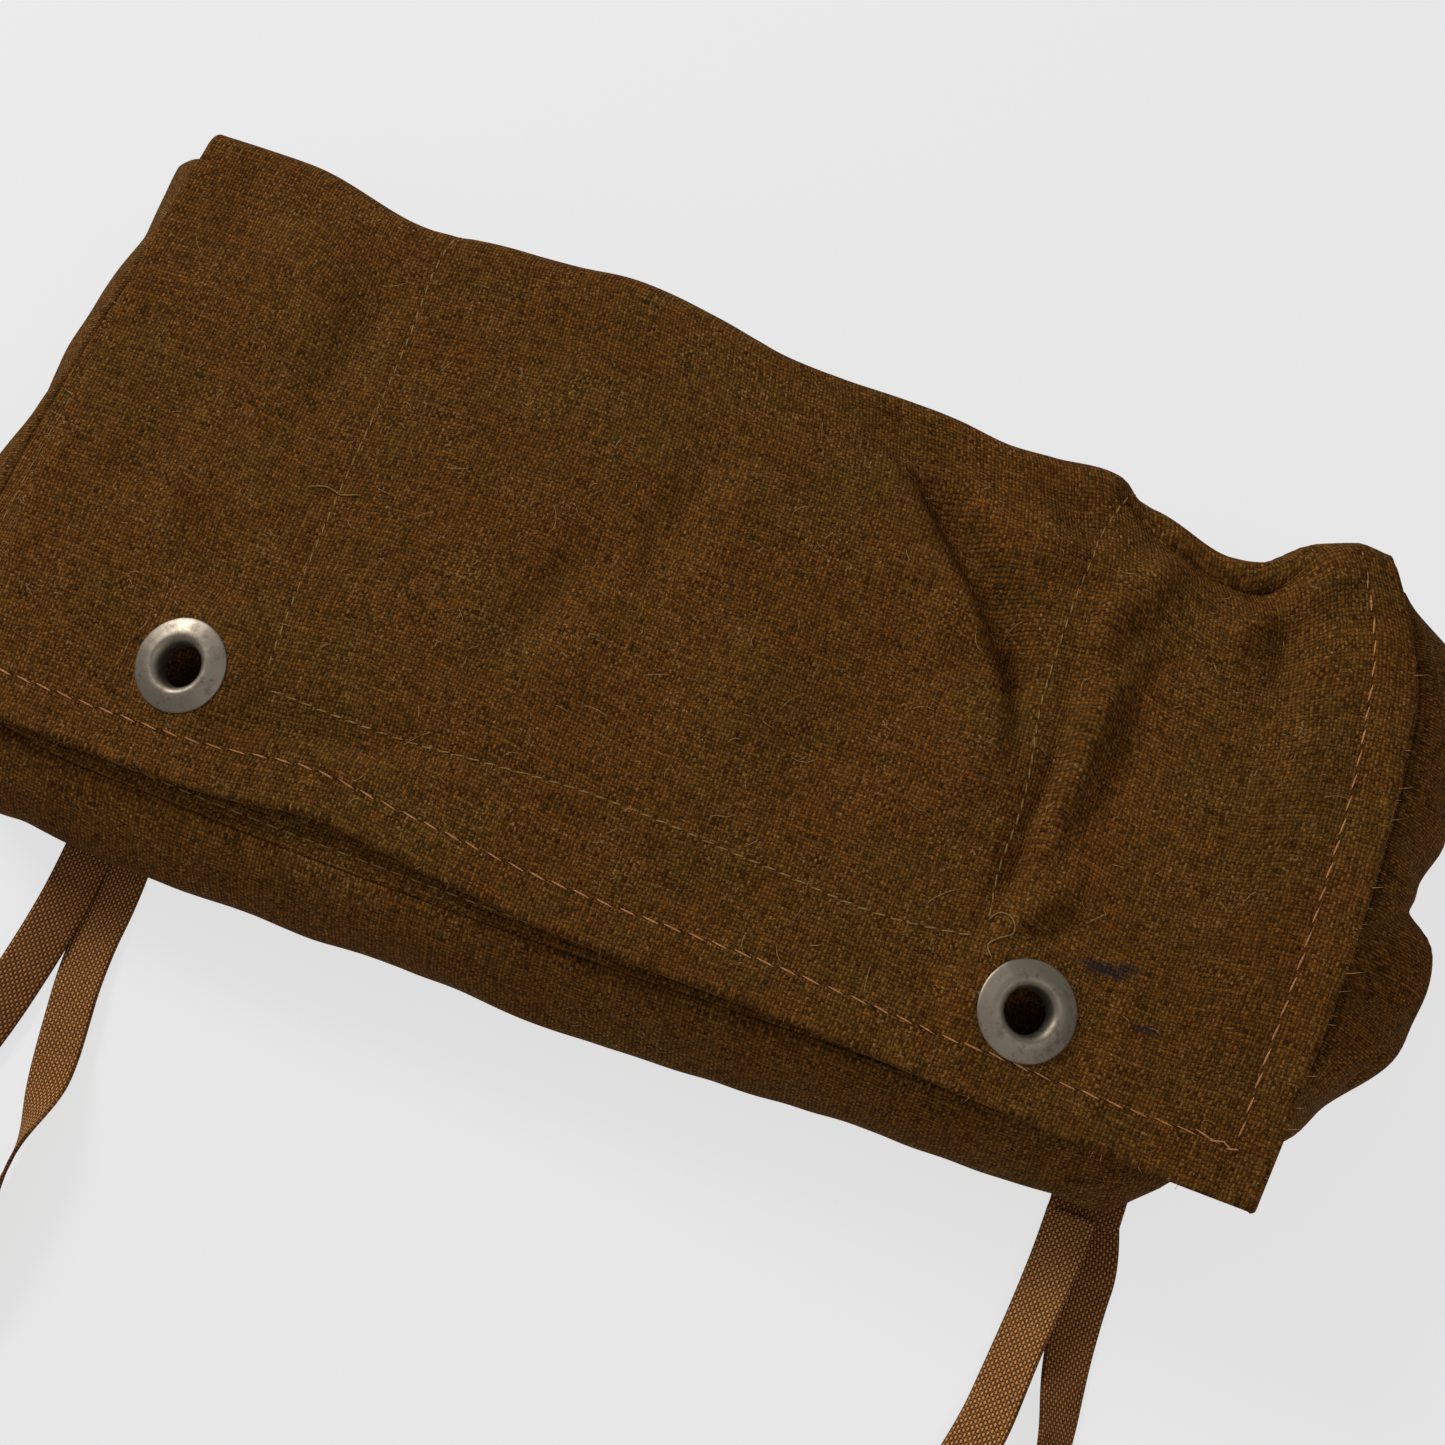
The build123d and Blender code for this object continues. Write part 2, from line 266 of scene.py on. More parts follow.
# Loose ends of thread: one that curls where the pocket's seam ends, and one across its left seam
LOOSE_THREADS = [
    [(86, -31), (88, -29), (90.5, -29.5), (91, -32), (89, -34), (87.5, -36.5), (89, -39)],
    [(-92, 7), (-88, 8.5), (-84, 8), (-80, 9.5)],
]

# How each eyelet's patch of cloth leans: its fall towards +X and +Y, and its height
EYELET_LEAN = {"left": (-0.10, -0.19, -1.5), "right": (0.22, -0.10, -1.7)}


def seam_groove(x, y, route, depth=0.45, width=1.7):
    """The shallow groove that a row of stitches pulls into the cloth."""
    away, along, knots = beside(x, y, route)
    return -depth * np.exp(-((away / width) ** 2))


def folded_relief(x, y):
    """Height of the flap's folds above its flat middle."""
    height = sum(crease(x, y, *fold) for fold in FLAP_FOLDS)
    height = height + 0.55 * unevenness(x, y, 34.0, 3.1) + 0.3 * unevenness(x, y, 13.0, 7.7)
    for seam in (POCKET_LEFT, POCKET_RIGHT, POCKET_FOOT, HEM_FOOT, HEM_SIDE):
        height = height + seam_groove(x, y, seam)
    for centre_x, centre_y in EYELETS.values():
        away = np.hypot(x - centre_x, y - centre_y)
        height = height * ease((away - 11.5) / 9.0)
    return np.clip(height, DEEPEST_FOLD, HIGHEST_FOLD) + droop(x, y)


def droop(x, y):
    """How far the flap hangs below its flat middle towards the hem, with a flat place at each eyelet."""
    low = -4.2 * ease((-14 - y) / 50.0) - 1.6 * ease((x - 118) / 34.0) * ease((-10 - y) / 30.0)
    low = low - 1.0 * ease((-128 - x) / 22.0) * ease((10 - y) / 60.0)
    for side, (centre_x, centre_y) in EYELETS.items():
        lean_x, lean_y, depth = EYELET_LEAN[side]
        across, up = x - centre_x, y - centre_y
        near = 1 - ease((np.hypot(across, up) - 10.8) / 9.5)
        low = low + (depth - lean_x * across - lean_y * up - low) * near
    return low


RELIEF_STEP = 0.8           # pitch of the even grid that the folds are worked out on
RELIEF_X = np.arange(-172, 176, RELIEF_STEP)
RELIEF_Y = np.arange(-80, 130, RELIEF_STEP)
RELIEF = folded_relief(*np.meshgrid(RELIEF_X, RELIEF_Y, indexing="ij"))


def flap_relief(x, y):
    """The folds' height at any place, read from an even grid worked out once."""
    a = np.clip((x - RELIEF_X[0]) / RELIEF_STEP, 0, len(RELIEF_X) - 1.001)
    b = np.clip((y - RELIEF_Y[0]) / RELIEF_STEP, 0, len(RELIEF_Y) - 1.001)
    i, j = a.astype(int), b.astype(int)
    a, b = a - i, b - j
    low = RELIEF[i, j] * (1 - b) + RELIEF[i, j + 1] * b
    high = RELIEF[i + 1, j] * (1 - b) + RELIEF[i + 1, j + 1] * b
    return low * (1 - a) + high * a


def flap_cloth(across, along):
    """Points of the flap's middle surface.

    across runs from -1 to 1, and along is cloth length in millimetres from the mouth's hinge.
    Values past the hem or the right edge turn under.
    """
    inside = np.clip(across, -1.0, 1.0)
    length = np.clip(along, 0.0, HEM_END)
    nominal = inside * FLAP_SPAN
    fold = course(*FOLD_LINE, nominal)
    hem = course(*LOWER_EDGE, nominal)
    crown = fold - ROLL

    rise = np.clip(length / RISE, 0.0, 1.0)
    turn = np.clip((length - RISE) / ROLL, 0.0, math.pi / 2)
    run = np.clip((length - ROLL_END) / TOP_LENGTH, 0.0, 1.0)
    y = MOUTH_HINGE_Y + (fold - MOUTH_HINGE_Y) * ease(rise) - ROLL * (1 - np.cos(turn))
    y = y + (hem - crown) * run
    z = MOUTH_HINGE_Z + (FLAP_MIDDLE - ROLL - MOUTH_HINGE_Z) * rise + ROLL * np.sin(turn)
    unrolled = y + np.clip(ROLL_END - length, 0.0, None) - ROLL * np.cos(turn)

    left = course(*LEFT_EDGE, unrolled)
    right = course(*RIGHT_EDGE, unrolled)
    x = left + (right - left) * (inside + 1) / 2
    relief = flap_relief(x, unrolled) * ease(length / 18.0) * (1 - 0.45 * ease((unrolled - crown) / 7.0))
    y = y + relief * np.cos(turn)
    z = z + relief * np.sin(turn)

    under = np.clip((along - HEM_END) / TURN_UNDER, 0.0, TURNED)
    y = y - TURN_UNDER * np.sin(under)
    z = z - TURN_UNDER * (1 - np.cos(under))
    under = np.clip((across - 1.0) * FLAP_SPAN / TURN_UNDER, 0.0, TURNED)
    x = x + TURN_UNDER * np.sin(under)
    z = z - TURN_UNDER * (1 - np.cos(under))
    return np.stack([x, y, z], axis=-1)


def flap_cloth_place(x, y):
    """The cloth coordinates of a place on the flap. y goes on past the fold as if unrolled."""
    left = course(*LEFT_EDGE, y)
    right = course(*RIGHT_EDGE, y)
    across = 2 * (x - left) / (right - left) - 1
    fold = course(*FOLD_LINE, across * FLAP_SPAN)
    hem = course(*LOWER_EDGE, across * FLAP_SPAN)
    crown = fold - ROLL
    top = ROLL_END + TOP_LENGTH * (crown - y) / (crown - hem)
    return across, np.where(y < crown, top, ROLL_END - (y - crown))


def surface_normal(surface, a, b, step_a, step_b):
    """Unit normals of a surface function, by small steps of its two coordinates."""
    along_a = surface(a + step_a, b) - surface(a - step_a, b)
    along_b = surface(a, b + step_b) - surface(a, b - step_b)
    normal = np.cross(along_a, along_b)
    return normal / np.linalg.norm(normal, axis=-1, keepdims=True)


def on_flap(x, y, lift):
    """Points and normals at a height above the flap's middle surface."""
    x, y = np.broadcast_arrays(np.asarray(x, float), np.asarray(y, float))
    across, along = flap_cloth_place(x, y)
    across = np.clip(across, -0.998, 0.998)
    normal = -surface_normal(flap_cloth, across, along, 0.002, 0.3)
    return flap_cloth(across, along) + normal * np.asarray(lift)[..., None], normal


# ---------------------------------------------------------------------------
# The body's cloth
# ---------------------------------------------------------------------------

# The front seam, from the mouth on the left, round the bottom, to the mouth on the right
FRONT_RIM_LEFT = [(-160, 84), (-161, 60), (-163, 25), (-163, -10), (-160, -38), (-153, -56)]
FRONT_RIM_FOOT = [(-153, -56), (-143, -65), (-126, -69), (-95, -70), (-8, -69), (60, -66),
                  (112, -63), (134, -59), (149, -52)]
FRONT_RIM_RIGHT = [(149, -52), (157, -42), (161, -22), (162, 0), (162, 30), (159, 60), (150, 80)]
BACK_RIM_LEFT = [(-160, 85), (-162, 60), (-163, 20), (-163, -20), (-161, -45), (-153, -60)]
BACK_RIM_FOOT = [(-153, -60), (-142, -68), (-125, -71), (-60, -71), (0, -70.5), (60, -68),
                 (112, -66), (135, -62), (150, -55)]
BACK_RIM_RIGHT = [(150, -55), (159, -44), (163, -20), (163, 20), (162, 60), (158, 85)]
SIDE_STEPS = 78
FOOT_STEPS = 140
RIM_DROP = 7.0              # how far the front seam lies below the front panel's middle
RIM_RISE = 3.2              # how far the back seam lies above the back panel's middle
CORNER_STEPS = 11           # steps of the foot that belong to each side gusset
EDGE_ROUND = 24.0           # how far in from a seam the panels are rounded
UNDER_FLAP = 3.6            # how far the front panel stays below the flap
HOLLOW = 5.5                # depth of the front panel's hollow below each eyelet
WALL_HEIGHT = 38.0          # cloth of a gusset from the back seam to the front one
LAST_STATION = 2 * SIDE_STEPS + FOOT_STEPS


def rim(left, foot, right):
    """Points of a seam round the body, evenly spaced on each of its three stretches."""
    parts = [
        line_through(left, SIDE_STEPS + 1)[0],
        line_through(foot, FOOT_STEPS + 1)[0][1:],
        line_through(right, SIDE_STEPS + 1)[0][1:],
    ]
    return np.concatenate(parts)


FRONT_RIM = rim(FRONT_RIM_LEFT, FRONT_RIM_FOOT, FRONT_RIM_RIGHT)
BACK_RIM = rim(BACK_RIM_LEFT, BACK_RIM_FOOT, BACK_RIM_RIGHT)


def panel_grid(seam, mouth):
    """Plan of a panel inside its seam, and how near each point is to the seam: 0 on it."""
    a = np.linspace(0, 1, FOOT_STEPS + 1)[:, None, None]
    b = np.linspace(0, 1, SIDE_STEPS + 1)[None, :, None]
    left = seam[: SIDE_STEPS + 1][::-1][None]
    foot = seam[SIDE_STEPS : SIDE_STEPS + FOOT_STEPS + 1][:, None]
    right = seam[SIDE_STEPS + FOOT_STEPS :][None]
    top = left[:, -1:] + (right[:, -1:] - left[:, -1:]) * a
    top = top.copy()
    top[..., 1] += mouth(top[..., 0]) * np.sin(math.pi * a[..., 0]) ** 0.5
    corners = (
        (1 - a) * (1 - b) * left[:, :1] + a * (1 - b) * right[:, :1]
        + (1 - a) * b * left[:, -1:] + a * b * right[:, -1:]
    )
    plan = (1 - b) * foot + b * top + (1 - a) * left + a * right - corners
    width = np.ptp(plan[..., 0])
    depth = np.ptp(plan[..., 1])
    inward = ease(a[..., 0] * width / EDGE_ROUND) * ease((1 - a[..., 0]) * width / EDGE_ROUND)
    inward = inward * ease(b[..., 0] * depth / EDGE_ROUND)
    return plan, inward


def rim_height(x, y):
    """Height of the front seam, with the deep tuck in its right side."""
    tuck_x, tuck_y, depth = 160, -8, 9.0
    tuck = np.exp(-(((x - tuck_x) / 12.0) ** 2) - (((y - tuck_y) / 7.5) ** 2))
    return FRONT_MIDDLE - RIM_DROP - depth * tuck


def front_height(x, y):
    """Height of the front panel's middle surface away from its seams: low under the folds."""
    under_flap = FLAP_MIDDLE + flap_relief(x, y) - UNDER_FLAP
    swell = 0.7 * unevenness(x, y, 45.0, 12.5)
    height = np.minimum(FRONT_MIDDLE - 0.6 + swell, under_flap)
    for centre_x, centre_y in EYELETS.values():
        away = np.hypot(x - centre_x, y - centre_y)
        height = height - HOLLOW * (1 - ease((away - 3.0) / 13.0))
    return height


def side_bulge(station):
    """How far the gusset stands out from the seams at each station."""
    share = station / LAST_STATION
    places = [0, 0.06, 0.10, 0.15, 0.2, 0.262, 0.30, 0.36, 0.45, 0.58, 0.66, 0.69, 0.705, 0.718, 0.728,
              0.736, 0.76, 0.777, 0.797, 0.824, 0.841, 0.861, 0.875, 0.902, 0.956, 0.986, 1]
    reach = [14, 12.0, 11.6, 13.5, 16, 15, 13, 14, 12.8, 10.8, 10.5, 10.5, 9.5, 6, 3.5,
             3.0, 4, 6.5, 14.5, 19.5, 20, 17, 13, 16.5, 17, 10, 1.5]
    return course(places, reach, share)


def gusset_cloth(station, climb):
    """Points of the bowed wall: station counts round the body, climb runs 0 to 1 from back to front."""
    whole = np.arange(LAST_STATION + 1)
    back = np.stack([np.interp(station, whole, BACK_RIM[:, k]) for k in (0, 1)], axis=-1)
    front = np.stack([np.interp(station, whole, FRONT_RIM[:, k]) for k in (0, 1)], axis=-1)
    middle = (BACK_RIM + FRONT_RIM) / 2
    run = np.gradient(middle, axis=0)
    facing = np.stack([run[:, 1], -run[:, 0]], axis=-1)
    facing = facing / np.linalg.norm(facing, axis=1, keepdims=True)
    out = np.stack([np.interp(station, whole, facing[:, k]) for k in (0, 1)], axis=-1)
    low = CLOTH / 2 + RIM_RISE
    high = rim_height(front[..., 0], front[..., 1])
    skew = climb ** 0.86
    bow = np.sin(math.pi * np.clip(skew, 0, 1)) ** 0.72
    reach = side_bulge(station) * bow + gusset_relief(station, climb) * np.clip(bow * 1.6, 0, 1)
    plan = back + (front - back) * climb[..., None] + out * reach[..., None]
    z = low + (high - low) * climb
    return np.concatenate([plan, z[..., None]], axis=-1)


# Folds of the gussets, each as a route of run and height, the height along it and its two widths
GUSSET_FOLDS = {
    # the right gusset's crease, between its upper lobe and its lower one, and the lobe's facets
    "right": [
        ([(-12, 46), (0, 36), (11, 26), (19, 12), (24, 0)], [-10, -11, -6, -3.5, -3], 3.0, 5.0),
        ([(-34, 36), (-20, 31), (-9, 29)], [0, 2.4, 1.0], 5, 5),
        ([(-25, 20), (-19, 25), (-14, 24)], [-0.5, -4.2, -0.5], 1.8, 2.6),
        ([(-48, 34), (-38, 22), (-30, 8)], [0.5, 1.6, 0.5], 5, 6),
        ([(52, 42), (40, 24), (34, 6)], [-1.4, -2.6, -1.2], 4, 7),
        ([(74, 40), (62, 26), (58, 8)], [0, 1.8, 0.6], 6, 4),
    ],
    # soft dents of the left gusset and the foot
    "left": [
        ([(60, 40), (74, 18), (80, 0)], [-2.4, -2.6, 0], 8, 12),
        ([(20, 36), (30, 10)], [-1.6, -1.6], 8, 8),
    ],
    "foot": [
        ([(-124, 40), (-128, 22), (-131, 4)], [0.6, 1.2, 0.6], 3, 6),
        ([(128, 36), (140, 26), (146, 10)], [-1.5, -4.0, -2.0], 3, 6),
        ([(112, 30), (124, 18), (130, 6)], [0, 2.4, 1.0], 5, 5),
        ([(-60, 36), (-30, 20), (10, 14)], [0, -1.0, 0], 8, 8),
    ],
}


def gusset_relief(station, climb):
    """Folds of the gussets, in millimetres out from the bowed wall."""
    height = WALL_HEIGHT * climb
    runs = {
        "right": (station - SIDE_STEPS - FOOT_STEPS) / SIDE_STEPS * 138.0 - 52.0,
        "left": station / SIDE_STEPS * 140.0,
        "foot": (station - SIDE_STEPS) / FOOT_STEPS * 300.0 - 150.0,
    }
    relief = 1.3 * unevenness(station * 1.9, height, 26.0, 21.0)
    relief = relief + 0.6 * unevenness(station * 1.9, height, 11.0, 33.0)
    for wall, folds in GUSSET_FOLDS.items():
        for fold in folds:
            relief = relief + crease(runs[wall], height, *fold)
    return relief


# ---------------------------------------------------------------------------
# Meshes
# ---------------------------------------------------------------------------


HOLE_CUT = 7.4              # radius of the cloth cut away round an eyelet's barrel
HEM_CLOTH = 1.1             # thickness of the turned-in and patched layers


def cloth_object(name, points, flat, thickness, material, holes=()):
    """A grid of cloth: points in millimetres, and flat coordinates in millimetres for the weave.

    holes are centres in plan round which the cloth is cut away.
    """
    across, along = points.shape[:2]
    bm = bmesh.new()
    weave = bm.loops.layers.uv.new("weave")
    bmesh.ops.create_grid(bm, x_segments=across - 1, y_segments=along - 1, size=1.0)
    bm.verts.ensure_lookup_table()
    place = {}
    for vert in bm.verts:
        i = round((vert.co.x + 1) / 2 * (across - 1))
        j = round((vert.co.y + 1) / 2 * (along - 1))
        place[vert.index] = (i, j)
    for face in bm.faces:
        for loop in face.loops:
            loop[weave].uv = flat[place[loop.vert.index]] * MM
    for vert in bm.verts:
        vert.co = Vector(points[place[vert.index]]) * MM
    for centre in holes:
        cut = [face for face in bm.faces
               if (face.calc_center_median().xy / MM - Vector(centre)).length < HOLE_CUT
               and face.calc_center_median().z / MM > FLAP_MIDDLE - 6]
        bmesh.ops.delete(bm, geom=cut, context="FACES")
    piece = finished(bm, name, material)
    if thickness:
        shell = piece.modifiers.new("thickness", "SOLIDIFY")
        shell.thickness = thickness * MM
        shell.offset = 0.0
        shell.use_even_offset = False
    return piece


def finished(bm, name, material, smooth=True):
    """Turns a bmesh into an object with one material, and puts it in the scene."""
    mesh = bpy.data.meshes.new(name)
    bm.to_mesh(mesh)
    bm.free()
    mesh.materials.append(material)
    for polygon in mesh.polygons:
        polygon.use_smooth = smooth
    piece = bpy.data.objects.new(name, mesh)
    bpy.context.scene.collection.objects.link(piece)
    return piece


def grid_of(first, second):
    """Two coordinate arrays over a grid."""
    return np.meshgrid(np.asarray(first, float), np.asarray(second, float), indexing="ij")


def stand_in(piece, body, slot, *nodes):
    """Rides on a body and stands for CAD nodes; the slot is not used."""
    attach(piece, body)
    if nodes:
        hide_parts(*nodes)


def bend_over_mouth(piece, slot, *nodes):
    """Bakes the piece's placement into its mesh and stands for CAD nodes; the slot is not used."""
    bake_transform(piece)
    if nodes:
        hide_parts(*nodes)


def stitches(bm, line, normals, pitch, length, width, slant=0.0):
    """A row of stitches along a line in space, each turned a little across the row."""
    runs = np.linalg.norm(np.diff(line, axis=0), axis=1)
    at = np.concatenate([[0.0], np.cumsum(runs)])
    count = int(at[-1] // pitch)
    dice = random.Random(count)
    for step in range(count):
        middle = (step + 0.5 + dice.uniform(-0.04, 0.04)) * at[-1] / count
        half = length / 2 * dice.uniform(0.94, 1.06)
        start, end, up = (
            Vector([np.interp(spot, at, column) for column in rows.T])
            for spot, rows in ((middle - half, line), (middle + half, line), (middle, normals))
        )
        sideways = up.cross(end - start).normalized() * slant * half
        stitch(bm, start - sideways, end + sideways, up, width * dice.uniform(0.9, 1.1))


def stitch(bm, start, end, up, width):
    """One plump stitch between two points in millimetres."""
    run = end - start
    ahead = run.normalized()
    sideways = up.cross(ahead).normalized()
    frame_of = Matrix((ahead, sideways, ahead.cross(sideways))).transposed().to_4x4()
    size = Matrix.Diagonal((run.length / 2 * MM, width / 2 * MM, width * 0.42 * MM, 1))
    place = Matrix.Translation((start + end) / 2 * MM) @ frame_of @ size
    turned = place @ Matrix.Rotation(math.pi / 2, 4, "Y")
    bmesh.ops.create_uvsphere(bm, u_segments=7, v_segments=6, radius=1.0, matrix=turned)


def route_on_flap(route, lift, count=400):
    """A route drawn on the flap, as points in space and normals."""
    line = line_through(route, count)[0]
    return on_flap(line[:, 0], line[:, 1], lift * np.ones(count))


def thread(bm, points, radius, sides=5):
    """A thin round thread through points in millimetres, narrowed at both ends."""
    count = len(points)
    made = bmesh.ops.create_grid(bm, x_segments=count - 1, y_segments=sides, size=1.0)["verts"]
    points = [Vector(point) for point in points]
    for vert in made:
        i = round((vert.co.x + 1) / 2 * (count - 1))
        turn = (vert.co.y + 1) * math.pi
        ahead = (points[min(i + 1, count - 1)] - points[max(i - 1, 0)]).normalized()
        side = ahead.cross(Vector((0.1, 0.2, 1.0))).normalized()
        thick = radius * (0.15 if i in (0, count - 1) else 1.0)
        around = side * math.cos(turn) - side.cross(ahead) * math.sin(turn)
        vert.co = (points[i] + around * thick) * MM
    bmesh.ops.remove_doubles(bm, verts=made, dist=1e-6)


def turned_ring(bm, profile, centre, normal, steps=120):
    """A closed ring turned from a profile of radii and heights, a little uneven from handling."""
    up = Vector(normal).normalized()
    side = up.cross(Vector((0, 1, 0))).normalized()
    ahead = up.cross(side)
    line = line_through([*profile, profile[0]], 3 * len(profile) + 1)[0]
    count = len(line)
    made = bmesh.ops.create_grid(bm, x_segments=steps, y_segments=count - 1, size=1.0)["verts"]
    for vert in made:
        turn = (vert.co.x + 1) * math.pi
        radius, height = line[round((vert.co.y + 1) / 2 * (count - 1))]
        round_place = Vector((math.cos(turn), math.sin(turn), centre[0] * 0.01))
        uneven = noise.noise(round_place * 1.7) * 0.14 + noise.noise(round_place * 5.0) * 0.05
        radius = radius + uneven * 0.8
        height = height + uneven * 0.7
        outward = side * math.cos(turn) + ahead * math.sin(turn)
        vert.co = (Vector(centre) + outward * radius + up * height) * MM
    bmesh.ops.remove_doubles(bm, verts=made, dist=1e-6)
    bmesh.ops.recalc_face_normals(bm, faces=bm.faces)


# ---------------------------------------------------------------------------
# Shader building
# ---------------------------------------------------------------------------


def wire(tree, socket, value):
    """Feeds a socket with a link or a plain value."""
    if isinstance(value, bpy.types.NodeSocket):
        tree.links.new(value, socket)
    elif value is not None:
        socket.default_value = value


def calc(tree, operation, first, second=None, third=None):
    """One step of arithmetic."""
    node = tree.nodes.new("ShaderNodeMath")
    node.operation = operation
    for socket, value in zip(node.inputs, (first, second, third)):
        wire(tree, socket, value)
    return node.outputs[0]


def vector_calc(tree, operation, first, second=None):
    """One step of arithmetic on vectors, with all its outputs."""
    node = tree.nodes.new("ShaderNodeVectorMath")
    node.operation = operation
    wire(tree, node.inputs[0], first)
    wire(tree, node.inputs[1], second)
    return node.outputs


def speckle(tree, vector, scale, detail=2.0, roughness=0.5):
    """Soft noise, with scale in lumps to a metre."""
    node = tree.nodes.new("ShaderNodeTexNoise")
    wire(tree, node.inputs["Vector"], vector)
    node.inputs["Scale"].default_value = scale
    node.inputs["Detail"].default_value = detail
    node.inputs["Roughness"].default_value = roughness
    return node.outputs["Fac"]


def chance(tree, value, seed):
    """A random number from 0 to 1 for each whole value."""
    node = tree.nodes.new("ShaderNodeTexWhiteNoise")
    node.noise_dimensions = "1D"
    wire(tree, node.inputs["W"], calc(tree, "ADD", value, seed))
    return node.outputs["Value"]


def reach(tree, value, low, high, to_low=0.0, to_high=1.0):
    """Stretches a value from one range to another, held at the ends."""
    node = tree.nodes.new("ShaderNodeMapRange")
    node.interpolation_type = "SMOOTHSTEP"
    for socket, number in zip(node.inputs, (value, low, high, to_low, to_high)):
        wire(tree, socket, number)
    return node.outputs[0]


def blend_colour(tree, share, first, second, kind="MIX"):
    """Mixes or multiplies two colours."""
    node = tree.nodes.new("ShaderNodeMix")
    node.data_type = "RGBA"
    node.blend_type = kind
    wire(tree, node.inputs["Factor"], share)
    wire(tree, node.inputs[6], first)
    wire(tree, node.inputs[7], second)
    return node.outputs[2]


def group_of(name, vector, values, results):
    """An empty shader group that takes a vector and some values and gives out values."""
    tree = bpy.data.node_groups.new(name, "ShaderNodeTree")
    tree.interface.new_socket(name=vector, in_out="INPUT", socket_type="NodeSocketVector")
    for in_out, sockets in (("INPUT", values), ("OUTPUT", results)):
        for socket in sockets:
            tree.interface.new_socket(name=socket, in_out=in_out, socket_type="NodeSocketFloat")
    start = tree.nodes.new("NodeGroupInput")
    end = tree.nodes.new("NodeGroupOutput")
    return tree, start.outputs, end.inputs


def plain_weave_group():
    """Plain weave: the height of its threads, a tone for each thread and crossing, and slubs."""
    name = "plain weave"
    if name in bpy.data.node_groups:
        return bpy.data.node_groups[name]
    tree, given, wanted = group_of(
        name, "Cloth", ("Warp pitch", "Weft pitch", "Wander"), ("Height", "Over", "Tone", "Knot", "Slub")
    )
    parts = tree.nodes.new("ShaderNodeSeparateXYZ")
    tree.links.new(given["Cloth"], parts.inputs[0])
    slow = calc(tree, "SUBTRACT", speckle(tree, given["Cloth"], 90.0, 1.0), 0.5)
    quick = calc(tree, "SUBTRACT", speckle(tree, given["Cloth"], 370.0, 1.0), 0.5)
    other = calc(tree, "SUBTRACT", speckle(tree, given["Cloth"], 410.0, 1.0), 0.5)
    sway_a = calc(tree, "MULTIPLY", calc(tree, "MULTIPLY_ADD", slow, 2.6, quick), given["Wander"])
    sway_b = calc(tree, "MULTIPLY", calc(tree, "MULTIPLY_ADD", slow, -2.2, other), given["Wander"])
    a = calc(tree, "ADD", calc(tree, "DIVIDE", parts.outputs[0], given["Warp pitch"]), sway_a)
    b = calc(tree, "ADD", calc(tree, "DIVIDE", parts.outputs[1], given["Weft pitch"]), sway_b)
    wave_a = calc(tree, "SINE", calc(tree, "MULTIPLY", a, math.pi))
    wave_b = calc(tree, "SINE", calc(tree, "MULTIPLY", b, math.pi))
    both = calc(tree, "MULTIPLY", wave_a, wave_b)
    warp = calc(tree, "MULTIPLY", calc(tree, "ADD", calc(tree, "ABSOLUTE", wave_a), both), 0.5)
    weft = calc(tree, "MULTIPLY", calc(tree, "SUBTRACT", calc(tree, "ABSOLUTE", wave_b), both), 0.5)
    on_top = calc(tree, "GREATER_THAN", warp, weft)
    column = calc(tree, "FLOOR", a)
    row = calc(tree, "FLOOR", b)
    warp_tone = chance(tree, column, 17.0)
    weft_tone = chance(tree, row, 91.0)
    tone = calc(tree, "ADD", calc(tree, "MULTIPLY", warp_tone, on_top),
                calc(tree, "MULTIPLY", weft_tone, calc(tree, "SUBTRACT", 1.0, on_top)))
    knot = chance(tree, calc(tree, "MULTIPLY_ADD", row, 577.0, column), 5.0)
    slubs = []
    for stretch in ((1.0, 0.16, 1.0), (0.16, 1.0, 1.0)):
        drawn = vector_calc(tree, "MULTIPLY", given["Cloth"], stretch)[0]
        slubs.append(speckle(tree, drawn, 1100.0, 2.0))
    slub = calc(tree, "ADD", calc(tree, "MULTIPLY", slubs[0], on_top),
                calc(tree, "MULTIPLY", slubs[1], calc(tree, "SUBTRACT", 1.0, on_top)))
    wire(tree, wanted["Height"], calc(tree, "MAXIMUM", warp, weft))
    wire(tree, wanted["Over"], reach(tree, calc(tree, "SUBTRACT", warp, weft), -0.25, 0.25))
    wire(tree, wanted["Tone"], tone)
    wire(tree, wanted["Knot"], knot)
    wire(tree, wanted["Slub"], slub)
    return tree


def wear_group():
    """Age of cloth: broad blotches, small straw flecks and lint."""
    name = "cloth wear"
    if name in bpy.data.node_groups:
        return bpy.data.node_groups[name]
    tree, given, wanted = group_of(name, "Place", (), ("Blotch", "Patch", "Fleck", "Grain"))
    wire(tree, wanted["Blotch"], reach(tree, speckle(tree, given["Place"], 26.0, 4.0, 0.6), 0.36, 0.64))
    wire(tree, wanted["Patch"], reach(tree, speckle(tree, given["Place"], 80.0, 5.0, 0.7), 0.38, 0.66))
    flecks = reach(tree, speckle(tree, given["Place"], 1350.0, 3.0, 0.6), 0.57, 0.70)
    crowd = reach(tree, speckle(tree, given["Place"], 70.0, 4.0, 0.65), 0.36, 0.66, 0.18, 1.0)
    wire(tree, wanted["Fleck"], calc(tree, "MULTIPLY", flecks, crowd))
    wire(tree, wanted["Grain"], speckle(tree, given["Place"], 2900.0, 3.0, 0.75))
    return tree


def new_material(name):
    """A material with its Principled shader, and the tree to build in."""
    material = bpy.data.materials.new(name)
    material.use_nodes = True
    tree = material.node_tree
    return material, tree, tree.nodes["Principled BSDF"]


def use_group(tree, group, **given):
    """Places a shader group and feeds its inputs."""
    node = tree.nodes.new("ShaderNodeGroup")
    node.node_tree = group
    for name, value in given.items():
        wire(tree, node.inputs[name.replace("_", " ")], value)
    return node.outputs


